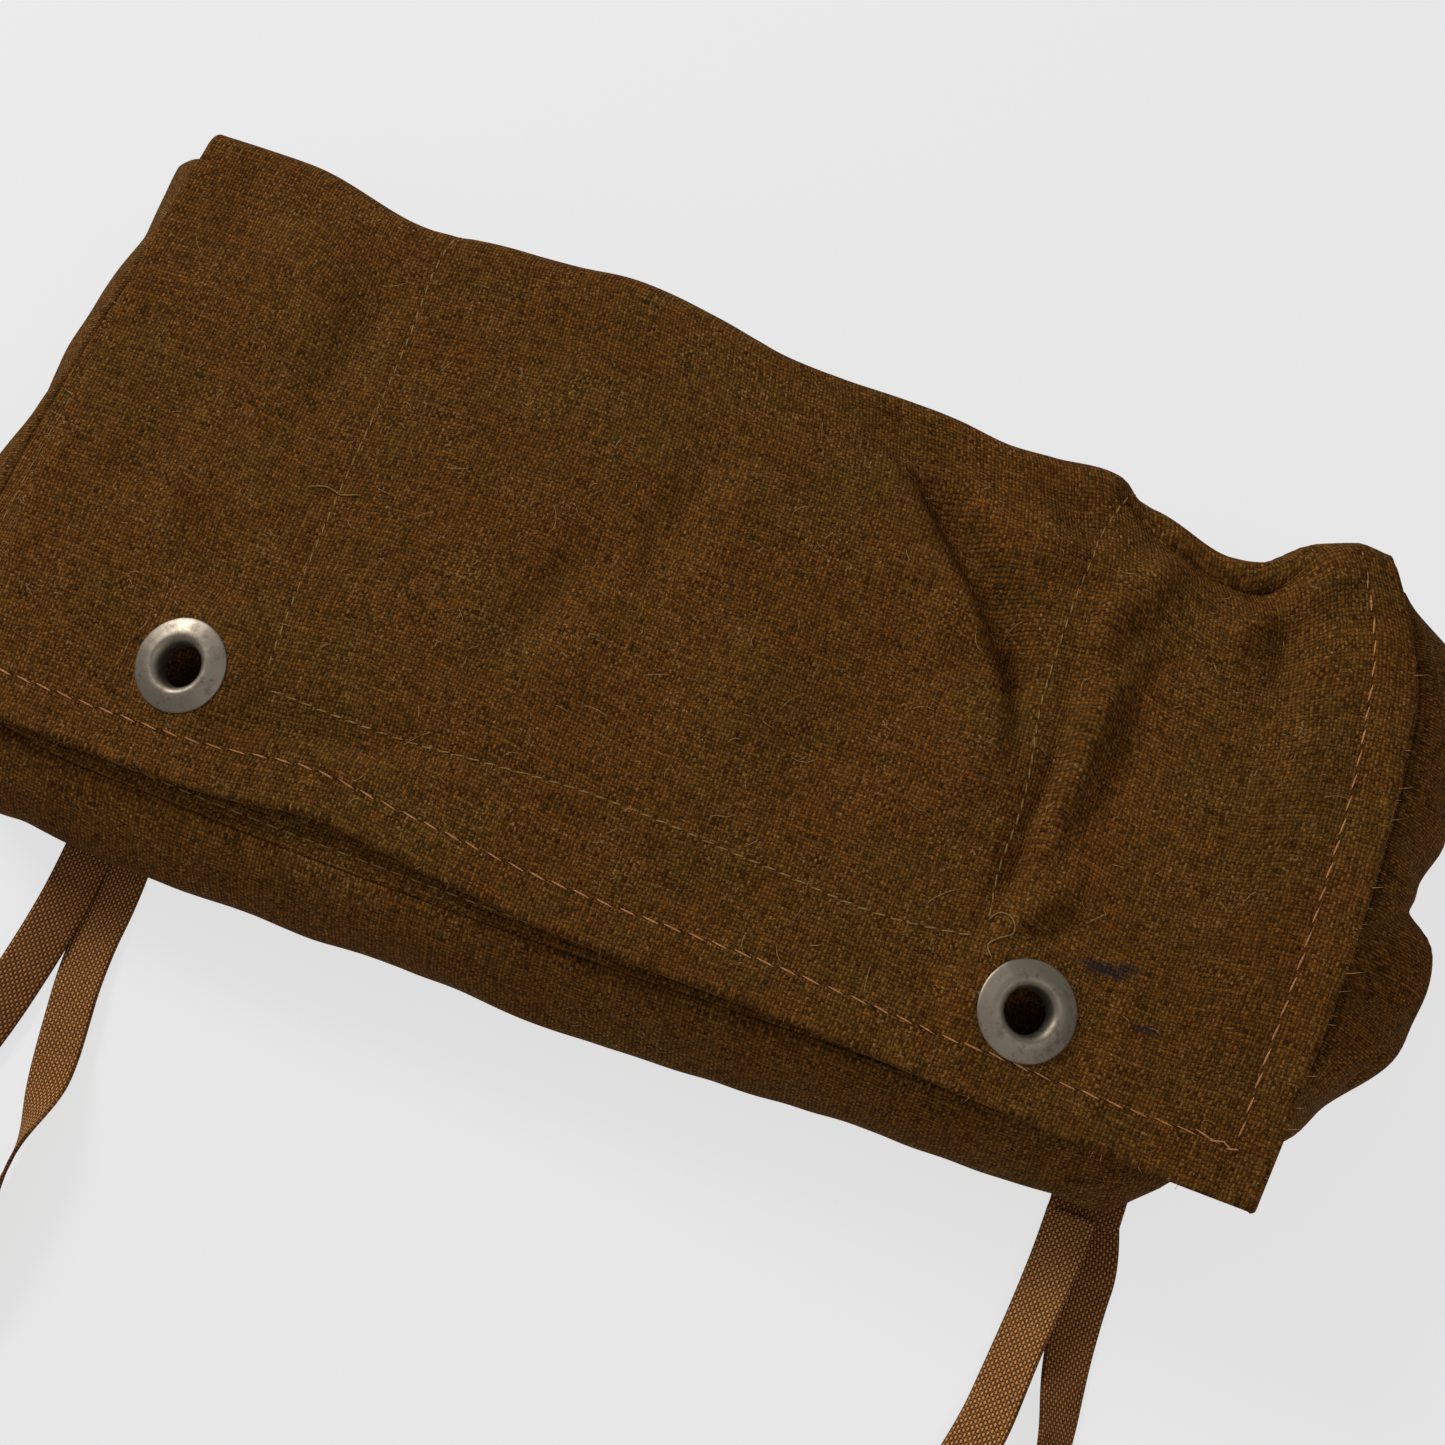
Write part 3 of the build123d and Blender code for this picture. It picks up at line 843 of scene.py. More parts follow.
def weave_place(tree):
    """The cloth's own flat coordinates, along its threads."""
    uv = tree.nodes.new("ShaderNodeUVMap")
    uv.uv_map = "weave"
    return uv.outputs[0]


def spot_on(tree):
    """The place on the object."""
    return tree.nodes.new("ShaderNodeTexCoord").outputs["Object"]


def finish(tree, shader, colour, roughness, specular):
    """Feeds the shader its colour and roughness, and sets how much plain gloss it has."""
    tree.links.new(colour, shader.inputs["Base Color"])
    tree.links.new(roughness, shader.inputs["Roughness"])
    shader.inputs["Specular IOR Level"].default_value = specular


def bump(tree, shader, height, strength, distance):
    """Presses a height into the surface, with its distance in millimetres."""
    node = tree.nodes.new("ShaderNodeBump")
    node.inputs["Strength"].default_value = strength
    node.inputs["Distance"].default_value = distance * MM
    tree.links.new(height, node.inputs["Height"])
    tree.links.new(node.outputs[0], shader.inputs["Normal"])


def four(colour):
    """A colour with full opacity."""
    return (*colour, 1.0)


def measured(tree, spot, place, size):
    """Distance from a place, where 1 is the given half length along each axis."""
    away = vector_calc(tree, "SUBTRACT", spot, place)[0]
    scaled = vector_calc(tree, "DIVIDE", away, size)[0]
    return vector_calc(tree, "LENGTH", scaled)["Value"]


def shaded(tree, colour, shade):
    """A colour darkened or lightened by a value."""
    grey = tree.nodes.new("ShaderNodeCombineColor")
    for socket in grey.inputs:
        tree.links.new(shade, socket)
    return blend_colour(tree, 1.0, colour, grey.outputs[0], "MULTIPLY")


# The painted shade on the front panel below each eyelet, a near-black patch that stands for the shadowed
# hollow seen through the hole: its height and half lengths in metres
HOLE_SHADE_HEIGHT = 0.0345
HOLE_SHADE_SIZE = (0.0085, 0.0085, 0.0070)

# The old ink spots near the right eyelet: centre and half lengths in metres, and strength
INK_SPOTS = (
    ((0.1115, -0.0318, 0.0430), (0.0046, 0.0013, 0.0060), 0.80),
    ((0.1160, -0.0300, 0.0430), (0.0024, 0.0010, 0.0060), 0.75),
    ((0.1240, -0.0405, 0.0420), (0.0026, 0.0008, 0.0060), 0.60),
)


def canvas_material():
    """Coarse flax canvas, olive brown, with pale slubs and flecks of straw."""
    name = "flax canvas"
    if name in bpy.data.materials:
        return bpy.data.materials[name]
    looks = bpy.context.scene.mail_sack_cloth
    material, tree, shader = new_material(name)
    spot = spot_on(tree)
    weave = use_group(tree, plain_weave_group(), Cloth=weave_place(tree), Warp_pitch=looks.warp_pitch,
                      Weft_pitch=looks.weft_pitch, Wander=0.62)
    wear = use_group(tree, wear_group(), Place=spot)
    ground = blend_colour(tree, wear["Blotch"], four(looks.brown), four(looks.olive))
    ground = blend_colour(tree, calc(tree, "MULTIPLY", wear["Patch"], 0.6), ground, four(looks.rust))
    tone = calc(tree, "MULTIPLY_ADD", weave["Tone"], 0.26, 0.34)
    tone = calc(tree, "MULTIPLY_ADD", weave["Knot"], 0.55, tone)
    tone = calc(tree, "MULTIPLY_ADD", weave["Over"], 0.24, tone)
    tone = calc(tree, "MULTIPLY_ADD", calc(tree, "SUBTRACT", weave["Slub"], 0.5), 2.0, tone)
    # Painted shade: the weave's low places, the gaps between threads, come out darker in the colour
    depth = reach(tree, weave["Height"], 0.15, 0.9, 0.55, 1.28)
    fuzz = reach(tree, wear["Grain"], 0.34, 0.68, 0.55, 1.50)
    shade = calc(tree, "MULTIPLY", calc(tree, "MULTIPLY", tone, depth), fuzz)
    ground = shaded(tree, ground, calc(tree, "MAXIMUM", shade, 0.26))
    ground = blend_colour(tree, calc(tree, "MULTIPLY", wear["Fleck"], 0.60), ground, four(looks.straw))
    ragged = calc(tree, "MULTIPLY_ADD", speckle(tree, spot, 900.0, 3.0, 0.8), 2.6, -1.5)
    for place, size, strength in INK_SPOTS:
        away = measured(tree, spot, place, size)
        share = reach(tree, calc(tree, "ADD", away, ragged), 0.3, 1.3, strength, 0.0)
        ground = blend_colour(tree, share, ground, four(looks.ink))
    # Painted shade: a near-black patch on the front panel below each eyelet darkens what is seen through
    # its hole
    for x, y in EYELETS.values():
        hole_shade_mask = measured(tree, spot, (x * MM, y * MM, HOLE_SHADE_HEIGHT), HOLE_SHADE_SIZE)
        ground = blend_colour(tree, reach(tree, hole_shade_mask, 0.2, 1.0, 0.85, 0.0), ground, four(looks.hole_shade))
    finish(tree, shader, ground, reach(tree, wear["Grain"], 0.3, 0.7, 0.86, 1.0), 0.04)
    height = calc(tree, "MULTIPLY_ADD", wear["Grain"], 0.5, weave["Height"])
    height = calc(tree, "MULTIPLY_ADD", weave["Knot"], 0.35, height)
    height = calc(tree, "MULTIPLY_ADD", weave["Slub"], 0.7, height)
    bump(tree, shader, height, 1.0, 0.24)
    return material


def tape_material(name, dark):
    """Woven cotton tape, orange brown, more or less darkened by handling."""
    looks = bpy.context.scene.mail_sack_tapes
    material, tree, shader = new_material(name)
    weave = use_group(tree, plain_weave_group(), Cloth=weave_place(tree), Warp_pitch=looks.warp_pitch,
                      Weft_pitch=looks.weft_pitch, Wander=0.14)
    wear = use_group(tree, wear_group(), Place=spot_on(tree))
    age = reach(tree, wear["Blotch"], 0.0, 1.0, 0.7 * dark, 0.3 + 0.7 * dark)
    ground = blend_colour(tree, age, four(looks.colour), four(looks.shade))
    tone = calc(tree, "MULTIPLY_ADD", weave["Tone"], 0.14, 0.62)
    tone = calc(tree, "MULTIPLY_ADD", weave["Knot"], 0.20, tone)
    # Painted shade: the crossings where the weft lies lower, and the gaps between threads, come out
    # darker in the colour
    tone = calc(tree, "MULTIPLY_ADD", weave["Over"], 0.95, calc(tree, "SUBTRACT", tone, 0.26))
    depth = reach(tree, weave["Height"], 0.1, 0.9, 0.12, 1.30)
    fuzz = reach(tree, wear["Grain"], 0.35, 0.65, 0.88, 1.12)
    ground = shaded(tree, ground, calc(tree, "MULTIPLY", calc(tree, "MULTIPLY", tone, depth), fuzz))
    finish(tree, shader, ground, reach(tree, wear["Grain"], 0.3, 0.7, 0.8, 1.0), 0.06)
    height = calc(tree, "MULTIPLY_ADD", weave["Over"], 0.9, weave["Height"])
    height = calc(tree, "MULTIPLY_ADD", wear["Grain"], 0.3, height)
    bump(tree, shader, height, 0.9, 0.30)
    return material


def thread_material(name, colour, dark):
    """Twisted linen thread."""
    if name in bpy.data.materials:
        return bpy.data.materials[name]
    material, tree, shader = new_material(name)
    wear = use_group(tree, wear_group(), Place=spot_on(tree))
    twist = reach(tree, wear["Grain"], 0.38, 0.62)
    mixed = blend_colour(tree, twist, four(colour), four(dark))
    mixed = blend_colour(tree, calc(tree, "MULTIPLY", wear["Patch"], 0.35), mixed, four(dark))
    finish(tree, shader, mixed, reach(tree, wear["Grain"], 0.3, 0.7, 0.7, 0.95), 0.1)
    bump(tree, shader, wear["Grain"], 0.6, 0.12)
    return material


def seam_thread():
    """The olive thread of the seams and the pocket."""
    return thread_material("seam thread", (0.27, 0.165, 0.055), (0.13, 0.070, 0.018))


def eyelet_material():
    """Dull zinc-plated steel, worn grey brown, with grime and fine scratches."""
    material, tree, shader = new_material("dull steel")
    spot = spot_on(tree)
    wear = use_group(tree, wear_group(), Place=spot)
    cloud = speckle(tree, spot, 260.0, 5.0, 0.68)
    fine = speckle(tree, spot, 1200.0, 3.0, 0.7)
    grime = reach(tree, calc(tree, "MULTIPLY_ADD", fine, 0.5, cloud), 0.72, 1.05, 0.0, 0.75)
    colour = blend_colour(tree, grime, (0.235, 0.200, 0.155, 1), (0.10, 0.072, 0.045, 1))
    tree.links.new(colour, shader.inputs["Base Color"])
    tree.links.new(reach(tree, cloud, 0.3, 0.7, 0.42, 0.58), shader.inputs["Roughness"])
    shader.inputs["Metallic"].default_value = 1.0
    bump(tree, shader, calc(tree, "MULTIPLY_ADD", cloud, 1.5, wear["Grain"]), 0.25, 0.03)
    return material


# ---------------------------------------------------------------------------
# Settings
# ---------------------------------------------------------------------------


def a_length(name, description, default):
    """A length that a user may change, given in millimetres."""
    return FloatProperty(name=name, description=description, default=default * MM, unit="LENGTH")


def a_colour(name, description, default):
    """A colour that a user may change."""
    return FloatVectorProperty(name=name, description=description, subtype="COLOR", size=3,
                               default=default)


class ClothSettings(bpy.types.PropertyGroup):
    """Weave and colours of the canvas"""

    warp_pitch: a_length("Warp pitch", "Distance between warp threads", 0.84)
    weft_pitch: a_length("Weft pitch", "Distance between weft threads", 0.95)
    brown: a_colour("Brown", "Main colour of the canvas", (0.098, 0.0385, 0.0060))
    olive: a_colour("Olive", "Colour of the canvas's greener blotches", (0.094, 0.0420, 0.0070))
    rust: a_colour("Rust", "Colour of the canvas's redder patches", (0.098, 0.0335, 0.0055))
    straw: a_colour("Straw", "Colour of the pale flecks", (0.34, 0.196, 0.076))
    # Colour of the painted shade seen through the eyelets' holes
    hole_shade: a_colour("Hole shade", "Colour of the painted shade below the eyelets", (0.010, 0.0055, 0.0016))
    ink: a_colour("Ink", "Colour of the old ink spots", (0.012, 0.011, 0.016))


class TapeSettings(bpy.types.PropertyGroup):
    """Size and colours of the tie tapes"""

    width: a_length("Width", "Width of a tape", 11.4)
    thickness: a_length("Thickness", "Thickness of a tape", 0.85)
    warp_pitch: a_length("Warp pitch", "Distance between a tape's warp threads", 0.70)
    weft_pitch: a_length("Weft pitch", "Distance between a tape's weft threads", 0.74)
    colour: a_colour("Colour", "Main colour of the tapes", (0.335, 0.150, 0.046))
    shade: a_colour("Shade", "Colour of the tapes' darker blotches", (0.190, 0.075, 0.022))


class ThreadSettings(bpy.types.PropertyGroup):
    """Stitches and loose fibres"""

    pitch: a_length("Stitch pitch", "Distance from stitch to stitch", 5.2)
    length: a_length("Stitch length", "Length of a stitch", 4.0)
    fibres: IntProperty(name="Fibres", description="Number of loose fibres on the canvas", default=210)


class StageSettings(bpy.types.PropertyGroup):
    """Camera and studio"""

    lens: FloatProperty(name="Lens", description="Focal length of the camera",
                        default=44.17, subtype="DISTANCE_CAMERA")
    floor: a_colour("Floor", "Colour of the floor's glow", (1.0, 1.0, 1.0))
    glow: FloatProperty(name="Glow", description="How evenly bright the floor is", default=0.70)


# ---------------------------------------------------------------------------
# Operators
# ---------------------------------------------------------------------------


CAMERA_PLACE = (0.0640, -0.1282, 0.4119)
CAMERA_TARGET = (0.0174, -0.0111, 0.0460)


def aimed(name, data, place, target):
    """A camera or a light at a place, turned to look at a target, both in metres."""
    holder = bpy.data.objects.new(name, data)
    holder.location = place
    holder.rotation_mode = "QUATERNION"
    holder.rotation_quaternion = (Vector(target) - holder.location).to_track_quat("-Z", "Y")
    bpy.context.scene.collection.objects.link(holder)
    return holder


class MAILSACK_OT_stage(bpy.types.Operator):
    """Add the camera, the floor and the studio lights"""

    bl_idname = "mailsack.stage"
    bl_label = "Stage"

    def execute(self, context):
        looks = context.scene.mail_sack_stage
        camera = aimed("camera", bpy.data.cameras.new("camera"), CAMERA_PLACE, CAMERA_TARGET)
        camera.data.lens = looks.lens
        camera.data.clip_start = 0.01
        context.scene.camera = camera

        material, _, shader = new_material("floor")
        shader.inputs["Base Color"].default_value = (0.11, 0.11, 0.11, 1)
        shader.inputs["Emission Color"].default_value = four(looks.floor)
        shader.inputs["Emission Strength"].default_value = looks.glow
        shader.inputs["Roughness"].default_value = 1.0
        shader.inputs["Specular IOR Level"].default_value = 0.0
        bm = bmesh.new()
        bmesh.ops.create_grid(bm, x_segments=1, y_segments=1, size=60.0)
        finished(bm, "floor", material)

        context.scene.view_settings.view_transform = "Standard"
        world = bpy.data.worlds.new("studio")
        context.scene.world = world
        world.use_nodes = True
        background = world.node_tree.nodes["Background"]
        background.inputs["Color"].default_value = (1, 1, 1, 1)
        background.inputs["Strength"].default_value = 0.40
        for name, place, size, power in (
            ("key", (-1.25, 0.70, 0.95), 0.55, 26.0),
            ("fill", (0.7, -0.5, 1.3), 1.4, 4.0),
        ):
            light = aimed(name, bpy.data.lights.new(name, "AREA"), place, (0, 0, 0))
            light.data.size = size
            light.data.energy = power
        return {"FINISHED"}


# Each tape: name, CAD node, length, its route in metres, how far it turns about its own line in
# degrees, at shares of its length, and how dark it is
TAPES = [
    (
        "left_outer_ribbon", "left_outer_tape", 0.1892,
        [(-0.117, -0.076, 0.0015), (-0.1155, -0.089, 0.0015), (-0.1158, -0.108, 0.0015),
         (-0.1185, -0.132, 0.0015), (-0.1265, -0.160, 0.0011), (-0.136, -0.186, 0.0008),
         (-0.145, -0.211, 0.0008), (-0.1505, -0.237, 0.0008), (-0.151, -0.261, 0.0008)],
        [(0, 8), (0.2, 22), (0.5, 8), (1, 0)], 0.8,
    ),
    (
        "left_inner_ribbon", "left_inner_tape", 0.1905,
        [(-0.108, -0.076, 0.0005), (-0.1060, -0.088, 0.0005), (-0.1055, -0.106, 0.0005),
         (-0.1015, -0.124, 0.0008), (-0.0970, -0.142, 0.0012), (-0.0970, -0.160, 0.0010),
         (-0.095, -0.188, 0.0008), (-0.096, -0.217, 0.0008), (-0.103, -0.241, 0.0008),
         (-0.113, -0.262, 0.0008)],
        [(0, 0), (0.2, -8), (0.31, -20), (0.39, -66), (0.50, -50), (0.66, -6), (1, 0)], 0.35,
    ),
    (
        "right_inner_ribbon", "right_inner_tape", 0.1943,
        [(0.127, -0.076, 0.0015), (0.1268, -0.084, 0.0015), (0.1256, -0.096, 0.0015),
         (0.1242, -0.110, 0.0015), (0.1228, -0.128, 0.0012), (0.1170, -0.148, 0.0010),
         (0.109, -0.168, 0.0008), (0.098, -0.190, 0.0008),
         (0.085, -0.213, 0.0008), (0.075, -0.238, 0.0008), (0.070, -0.260, 0.0008)],
        [(0, -20), (0.12, -36), (0.3, -22), (0.5, 0), (1, 0)], 0.0,
    ),
    (
        "right_outer_ribbon", "right_outer_tape", 0.1993,
        [(0.1325, -0.076, 0.0005), (0.1352, -0.084, 0.0005), (0.1348, -0.094, 0.0005),
         (0.1356, -0.108, 0.0005), (0.1385, -0.124, 0.0006), (0.1390, -0.150, 0.0008),
         (0.133, -0.177, 0.0008), (0.123, -0.203, 0.0008), (0.110, -0.227, 0.0008),
         (0.0995, -0.250, 0.0008), (0.093, -0.266, 0.0008)],
        [(0, 0), (0.08, 6), (0.16, 24), (0.26, 48), (0.42, 10), (1, 0)], 1.0,
    ),
]


def followed_line(route):
    """Points along the smooth spline of a route, in metres."""
    curve = bpy.data.curves.new("route", "CURVE")
    curve.dimensions = "3D"
    spline = curve.splines.new("NURBS")
    spline.points.add(len(route) - 1)
    for point, place in zip(spline.points, route):
        point.co = (*place, 1.0)
    spline.order_u = 3
    spline.use_endpoint_u = True
    spline.resolution_u = 12
    holder = bpy.data.objects.new("route", curve)
    bpy.context.scene.collection.objects.link(holder)
    mesh = bpy.data.meshes.new_from_object(holder)
    line = np.array([vert.co for vert in mesh.vertices])
    bpy.data.objects.remove(holder)
    bpy.data.meshes.remove(mesh)
    bpy.data.curves.remove(curve)
    return line


def ribbon(name, line, roll, width, thickness, material):
    """A flat woven tape that follows a line, rolled about it by the given turns."""
    across = np.linspace(-1, 1, 11)
    runs = np.linalg.norm(np.diff(line, axis=0), axis=1)
    place = np.concatenate([[0.0], np.cumsum(runs)])
    ahead = np.gradient(line, axis=0)
    ahead = ahead / np.linalg.norm(ahead, axis=1, keepdims=True)
    side = np.cross(ahead, (0.0, 0.0, 1.0))
    side = side / np.linalg.norm(side, axis=1, keepdims=True)
    turn = np.radians(course(*zip(*roll), place / place[-1]))[:, None]
    lay = side * np.cos(turn) + np.cross(side, ahead) * np.sin(turn)
    lift = np.abs(np.sin(turn)) * width / 2
    points = line[:, None] + across[None, :, None] * lay[:, None] * width / 2
    points[..., 2] += lift
    flat = np.stack(np.broadcast_arrays(across[None] * width / 2, place[:, None]), axis=-1)
    piece = cloth_object(name, points / MM, flat / MM, thickness / MM, material)
    return piece, points[:, len(across) // 2]


class MAILSACK_OT_tapes(bpy.types.Operator):
    """Add the four tie tapes and the sewn-down ends that they come from"""

    bl_idname = "mailsack.tapes"
    bl_label = "Tie tapes"

    def execute(self, context):
        looks = context.scene.mail_sack_tapes
        for name, node, length, route, roll, dark in TAPES:
            material = tape_material(name.replace("ribbon", "tape cloth"), dark)
            line = followed_line(route)
            piece, centre = ribbon(name, line, roll, looks.width, looks.thickness, material)
            stand_in(piece, "sack", "tie_tape", node)
        for side in ("left", "right"):
            low, high = cad_box(f"{side}_tape_anchor")
            x, y = grid_of(
                np.linspace(low.x + 0.6, high.x - 0.6, 24), np.linspace(low.y - 0.8, high.y + 7, 8)
            )
            z = 2.05 + 0.08 * np.sin(x) * np.cos(y * 2)
            points = np.stack([x, y, z], axis=-1)
            piece = cloth_object(f"{side}_tape_ends", points, points[..., :2], 0.8, material)
            stand_in(piece, "sack", "tie_tape", f"{side}_tape_anchor")
        return {"FINISHED"}


LAYER_DROP = 1.36           # from the flap's middle surface down to a layer inside it
HEM_INSET = 0.8             # from the flap's edge in to the hem's layer
HEM_WIDTH = 9.5


def inner_layer(name, x, y, flat, material):
    """A layer of cloth that lies against the flap's inner side."""
    points = on_flap(x, y, -LAYER_DROP * np.ones_like(x))[0]
    return cloth_object(name, points, np.stack(flat, axis=-1), HEM_CLOTH, material)


class MAILSACK_OT_flap(bpy.types.Operator):
    """Add the flap's cloth, with its hem and the pocket inside it"""

    bl_idname = "mailsack.flap"
    bl_label = "Flap"

    def execute(self, context):
        material = canvas_material()
        turned = TURN_UNDER * np.linspace(0.25, 2.5, 6)
        across = np.concatenate([np.linspace(-1, 1, 212), 1 + turned / FLAP_SPAN])
        along = np.concatenate([np.linspace(0, HEM_END, 136), HEM_END + turned])
        s, q = grid_of(across, along)
        points = flap_cloth(s, q)
        flat = np.stack([s * FLAP_SPAN, q], axis=-1)
        cloth = cloth_object("flap_cloth", points[:, ::-1], flat[:, ::-1], CLOTH, material,
                             EYELETS.values())
        bend_over_mouth(cloth, "canvas", "flap_panel", "mouth_band")

        lower_edge = course(*LOWER_EDGE, np.linspace(-150, 150, 180))
        x, share = grid_of(np.linspace(-146, 154, 180), np.linspace(0, 1, 8))
        y = lower_edge[:, None] + HEM_INSET + share * HEM_WIDTH
        strip = inner_layer("flap_hem_foot", x, y, (x, y), material)
        stand_in(strip, "flap", "canvas", "flap_hem")
        y, share = grid_of(np.linspace(-55, 70, 84), np.linspace(0, 1, 8))
        x = course(*RIGHT_EDGE, y) - HEM_INSET - share * HEM_WIDTH
        strip = inner_layer("flap_hem_side", x, y, (x, y), material)
        stand_in(strip, "flap", "canvas")

        x, y = grid_of(np.linspace(-88, 89, 110), np.linspace(-42, 74, 76))
        patch = inner_layer("flap_pocket_cloth", x, y, (y, x), material)
        bend_over_mouth(patch, "canvas", "flap_pocket")
        return {"FINISHED"}


STITCH_LIFT = 0.78          # from a panel's middle surface up to its stitches


class MAILSACK_OT_body(bpy.types.Operator):
    """Add the body: front and back panels, three gussets and the mouth's hem"""

    bl_idname = "mailsack.body"
    bl_label = "Body"

    def execute(self, context):
        material = canvas_material()
        plan, inward = panel_grid(FRONT_RIM, lambda x: course(*FOLD_LINE, x) - 86.0 - 4.5)
        x, y = plan[..., 0], plan[..., 1]
        z = rim_height(x, y)
        z = z + (front_height(x, y) - z) * inward
        points = np.concatenate([plan, z[..., None]], axis=-1)
        front = cloth_object("front_cloth", points, plan, CLOTH, material)
        stand_in(front, "sack", "canvas", "front_panel")
        inside = points[4:-4, -7:].copy()
        inside[..., 2] -= 1.35
        strip = cloth_object("mouth_hem_cloth", inside, plan[4:-4, -7:], HEM_CLOTH, material)
        stand_in(strip, "sack", "canvas", "mouth_hem")
        side_rows = points[2, 3:-3], points[3:-3, 2], points[-3, 3:-3]
        for name, rows, node in (
            ("mouth_stitches", (points[4:-4, -5],), "mouth_thread"),
            ("body_seam_stitches", side_rows, "seam_thread"),
        ):
            bm = bmesh.new()
            for row in rows:
                upward = np.broadcast_to(np.array([0.0, 0.0, 1.0]), row.shape)
                stitches(bm, row + upward * STITCH_LIFT, upward, 4.3, 3.3, 0.42)
            stand_in(finished(bm, name, seam_thread()), "sack", "seam_thread", node)

        plan, inward = panel_grid(BACK_RIM, lambda x: np.zeros_like(x))
        x, y = plan[..., 0], plan[..., 1]
        z = CLOTH / 2 + RIM_RISE * (1 - inward) + 0.2 * (1 + unevenness(x, y, 30.0, 5.0)) * inward
        points = np.concatenate([plan, z[..., None]], axis=-1)
        back = cloth_object("back_cloth", points[:, ::-1], plan[:, ::-1], CLOTH, material)
        stand_in(back, "sack", "canvas", "back_panel")

        left_end = SIDE_STEPS + CORNER_STEPS
        right_start = SIDE_STEPS + FOOT_STEPS - CORNER_STEPS
        climb = np.linspace(0, 1, 34)
        for name, start, end in (
            ("left_gusset", 0, left_end),
            ("bottom_gusset", left_end, right_start),
            ("right_gusset", right_start, LAST_STATION),
        ):
            station, height = grid_of(np.arange(start, end + 1), climb)
            points = gusset_cloth(station, height)
            flat = np.stack([station * 2.1, height * 52.0], axis=-1)
            wall = cloth_object(name + "_cloth", points, flat, CLOTH, material)
            stand_in(wall, "sack", "canvas", name)
        return {"FINISHED"}


class MAILSACK_OT_stitching(bpy.types.Operator):
    """Add the flap's rows of stitches and their loose thread ends, with painted shade in the needle
    holes
    """

    bl_idname = "mailsack.stitching"
    bl_label = "Stitching"

    def execute(self, context):
        looks = context.scene.mail_sack_threads
        pitch, length = looks.pitch / MM, looks.length / MM
        orange = thread_material("hem thread", (0.46, 0.220, 0.085), (0.24, 0.100, 0.034))
        # Painted shade: near-black beads sunk just under the cloth along each hem row stand for the
        # shade in the needle holes
        hole, _, shader = new_material("needle hole")
        shader.inputs["Base Color"].default_value = (0.008, 0.004, 0.001, 1)
        shader.inputs["Roughness"].default_value = 1.0
        shader.inputs["Specular IOR Level"].default_value = 0.0

        bm = bmesh.new()
        holes = bmesh.new()
        for route in (HEM_FOOT, HEM_SIDE):
            stitches(bm, *route_on_flap(route, CLOTH / 2 + 0.08), pitch, length, 0.45, -0.11)
            stitches(holes, *route_on_flap(route, CLOTH / 2 - 0.02), pitch, pitch * 1.02, 0.36)
        # the backward stitches where the foot's row ends
        for start, end in (
            ((139.5, -55.2), (143.6, -56.3)), ((143.0, -56.6), (146.2, -55.4)),
            ((145.6, -55.5), (148.0, -56.9)), ((146.6, -57.0), (149.2, -56.2)),
        ):
            tips, normals = on_flap(*zip(start, end), np.array([0.85, 0.85]))
            stitch(bm, Vector(tips[0]), Vector(tips[1]), Vector(normals[0]), 0.42)
        bend_over_mouth(finished(bm, "hem_stitches", orange), "hem_thread", "flap_hem_thread")
        bend_over_mouth(finished(holes, "hem_needle_hole_shade", hole), "canvas")

        bm = bmesh.new()
        for route in (POCKET_LEFT, POCKET_FOOT, POCKET_RIGHT):
            stitches(bm, *route_on_flap(route, CLOTH / 2 + 0.07), 3.6, 2.7, 0.44, 0.10)
        for route in LOOSE_THREADS:
            thread(bm, route_on_flap(route, CLOTH / 2 + 0.32, 22)[0], 0.17)
        bend_over_mouth(finished(bm, "pocket_stitches", seam_thread()), "seam_thread", "pocket_thread")
        return {"FINISHED"}


class MAILSACK_OT_fibres(bpy.types.Operator):
    """Scatter loose straw fibres over the flap and along its edges"""

    bl_idname = "mailsack.fibres"
    bl_label = "Loose fibres"

    def execute(self, context):
        looks = context.scene.mail_sack_threads
        straw = thread_material("straw fibre", (0.42, 0.27, 0.12), (0.22, 0.12, 0.04))
        dice = np.random.default_rng(11)
        steps = np.linspace(-0.5, 0.5, 7)
        bm = bmesh.new()
        count = looks.fibres
        length = dice.uniform(1.2, 4.2, count) * dice.choice([1.0, 1.0, 1.0, 1.0, 2.2], count)
        bend = dice.uniform(-1.6, 1.6, count)
        heading = dice.uniform(0, math.pi, count)[:, None] + bend[:, None] * steps
        run = length[:, None] / len(steps)
        x = dice.uniform(-144, 144, count)[:, None] + np.cumsum(np.cos(heading), 1) * run
        y = dice.uniform(-58, 70, count)[:, None] + np.cumsum(np.sin(heading), 1) * run
        lift = CLOTH / 2 + 0.14 + dice.uniform(0, 0.5, count)[:, None] * np.cos(math.pi * steps)
        for line, radius in zip(on_flap(x, y, lift)[0], dice.uniform(0.04, 0.08, count)):
            thread(bm, line, radius, 4)
        # short hairs that stand out past the hem
        for edge, along_x in ((LOWER_EDGE, True), (RIGHT_EDGE, False), (LEFT_EDGE, False)):
            low, high = (-146, 148) if along_x else (-60, 66)
            for place in dice.uniform(low, high, count // 3):
                value = float(course(*edge, place))
                outward = (0.0, -1.0) if along_x else (math.copysign(1.0, value), 0.0)
                start = (place, value) if along_x else (value, place)
                tips = on_flap(start[0] - outward[0], start[1] - outward[1], np.array(0.0))[0]
                drift = dice.uniform(-0.8, 0.8, 2)
                grow = np.linspace(0, dice.uniform(1.4, 3.4), 5)[:, None]
                way = np.array([
                    outward[0] + drift[0] * (1 + 0.2 * abs(outward[1])),
                    outward[1] + drift[0] * outward[0],
                    drift[1] * 0.4,
                ])
                curl = grow ** 2 * np.array([0.12, 0.1, 0.05]) * drift[1]
                thread(bm, tips + grow * way + curl, dice.uniform(0.035, 0.07), 4)
        bend_over_mouth(finished(bm, "loose_fibres", straw), "canvas")
        return {"FINISHED"}


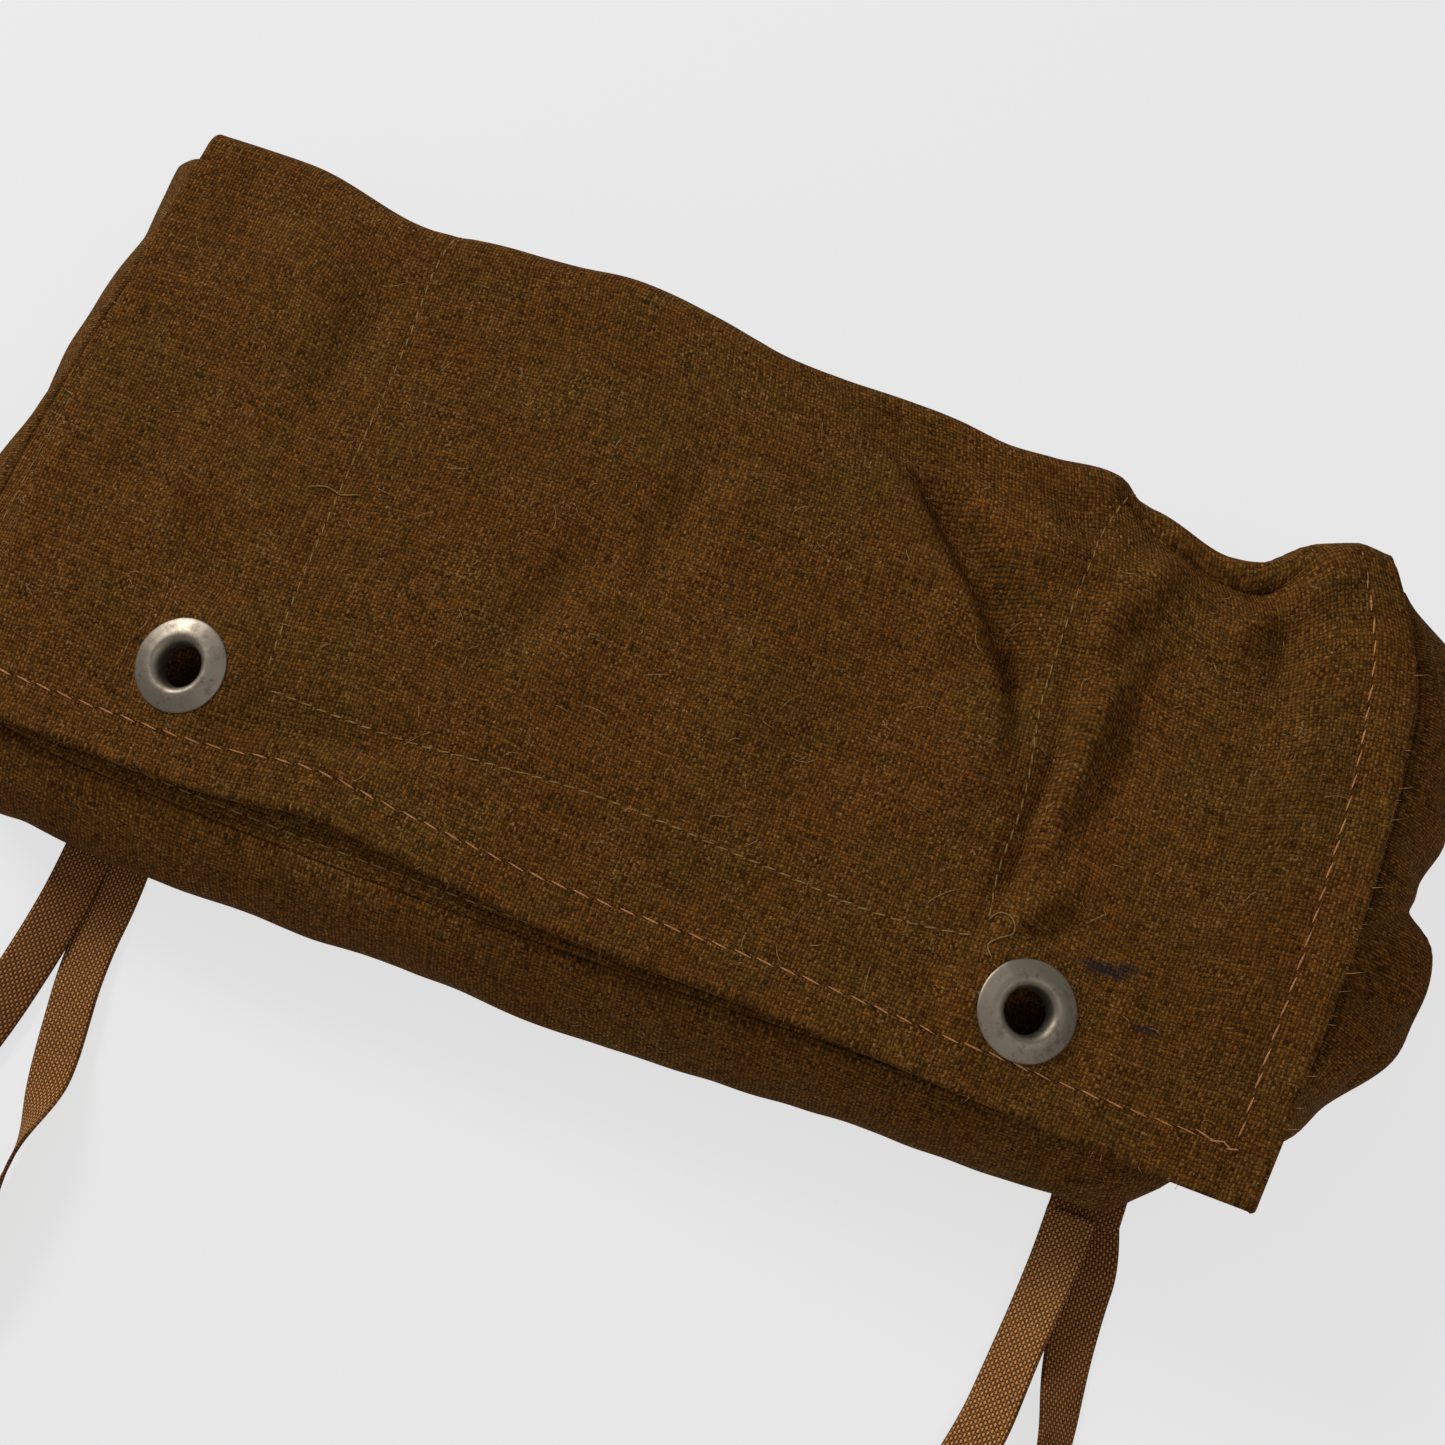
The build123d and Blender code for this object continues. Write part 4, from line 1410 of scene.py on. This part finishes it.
# Radii and heights of the turned eyelet, from its barrel over the flange and back, and of its washer
FUNNEL = [
    (4.9, -2.8), (4.9, -1.6), (4.95, -0.6), (5.1, 0.2), (5.4, 0.95), (5.9, 1.5), (6.5, 1.8),
    (7.2, 1.78), (7.9, 1.60), (8.7, 1.28), (9.6, 0.90), (10.4, 0.56), (10.85, 0.32),
    (11.0, 0.06), (10.8, -0.06),
    (8.0, -0.06), (5.8, -0.06), (5.6, -0.3), (5.6, -1.6), (5.65, -2.45), (6.9, -2.45), (7.2, -2.7),
    (6.9, -3.0), (5.6, -3.05), (5.0, -3.0),
]
WASHER = [(5.7, -2.35), (5.7, -1.45), (9.6, -1.45), (9.8, -1.6), (9.8, -2.2), (9.6, -2.35)]


class MAILSACK_OT_eyelets(bpy.types.Operator):
    """Add the two eyelets and their washers"""

    bl_idname = "mailsack.eyelets"
    bl_label = "Eyelets"

    def execute(self, context):
        material = eyelet_material()
        for side, (x, y) in EYELETS.items():
            lean_x, lean_y, depth = EYELET_LEAN[side]
            normal = (lean_x, lean_y, 1.0)
            centre = (x, y, FLAP_MIDDLE + depth + CLOTH / 2)
            for name, profile, node in (
                (f"{side}_eyelet_funnel", FUNNEL, f"{side}_eyelet"),
                (f"{side}_washer_ring", WASHER, f"{side}_eyelet_washer"),
            ):
                bm = bmesh.new()
                turned_ring(bm, profile, centre, normal)
                stand_in(finished(bm, name, material), "flap", "eyelet_metal", node)
        return {"FINISHED"}


class MAILSACK_PT_panel(bpy.types.Panel):
    """Lists the sack's pieces"""

    bl_label = "Mail Sack"
    bl_idname = "MAILSACK_PT_panel"
    bl_space_type = "VIEW_3D"
    bl_region_type = "UI"
    bl_category = "Mail Sack"

    def draw(self, context):
        for operator in OPERATORS:
            self.layout.operator(operator.bl_idname)
        for name in SETTINGS:
            settings = getattr(context.scene, name)
            for key in settings.bl_rna.properties.keys():
                if key not in ("rna_type", "name"):
                    self.layout.prop(settings, key)


OPERATORS = (
    MAILSACK_OT_stage,
    MAILSACK_OT_tapes,
    MAILSACK_OT_body,
    MAILSACK_OT_flap,
    MAILSACK_OT_stitching,
    MAILSACK_OT_fibres,
    MAILSACK_OT_eyelets,
)
SETTINGS = {
    "mail_sack_cloth": ClothSettings,
    "mail_sack_tapes": TapeSettings,
    "mail_sack_threads": ThreadSettings,
    "mail_sack_stage": StageSettings,
}


def register():
    for name, settings in SETTINGS.items():
        bpy.utils.register_class(settings)
        setattr(bpy.types.Scene, name, PointerProperty(type=settings))
    for made in (*OPERATORS, MAILSACK_PT_panel):
        bpy.utils.register_class(made)


def unregister():
    for made in (*OPERATORS, MAILSACK_PT_panel):
        bpy.utils.unregister_class(made)
    for name, settings in SETTINGS.items():
        delattr(bpy.types.Scene, name)
        bpy.utils.unregister_class(settings)


def main():
    """Makes every piece in order."""
    register()
    for piece in ("stage", "tapes", "body", "flap", "stitching", "fibres", "eyelets"):
        getattr(bpy.ops.mailsack, piece)()


if __name__ == "__main__":
    main()
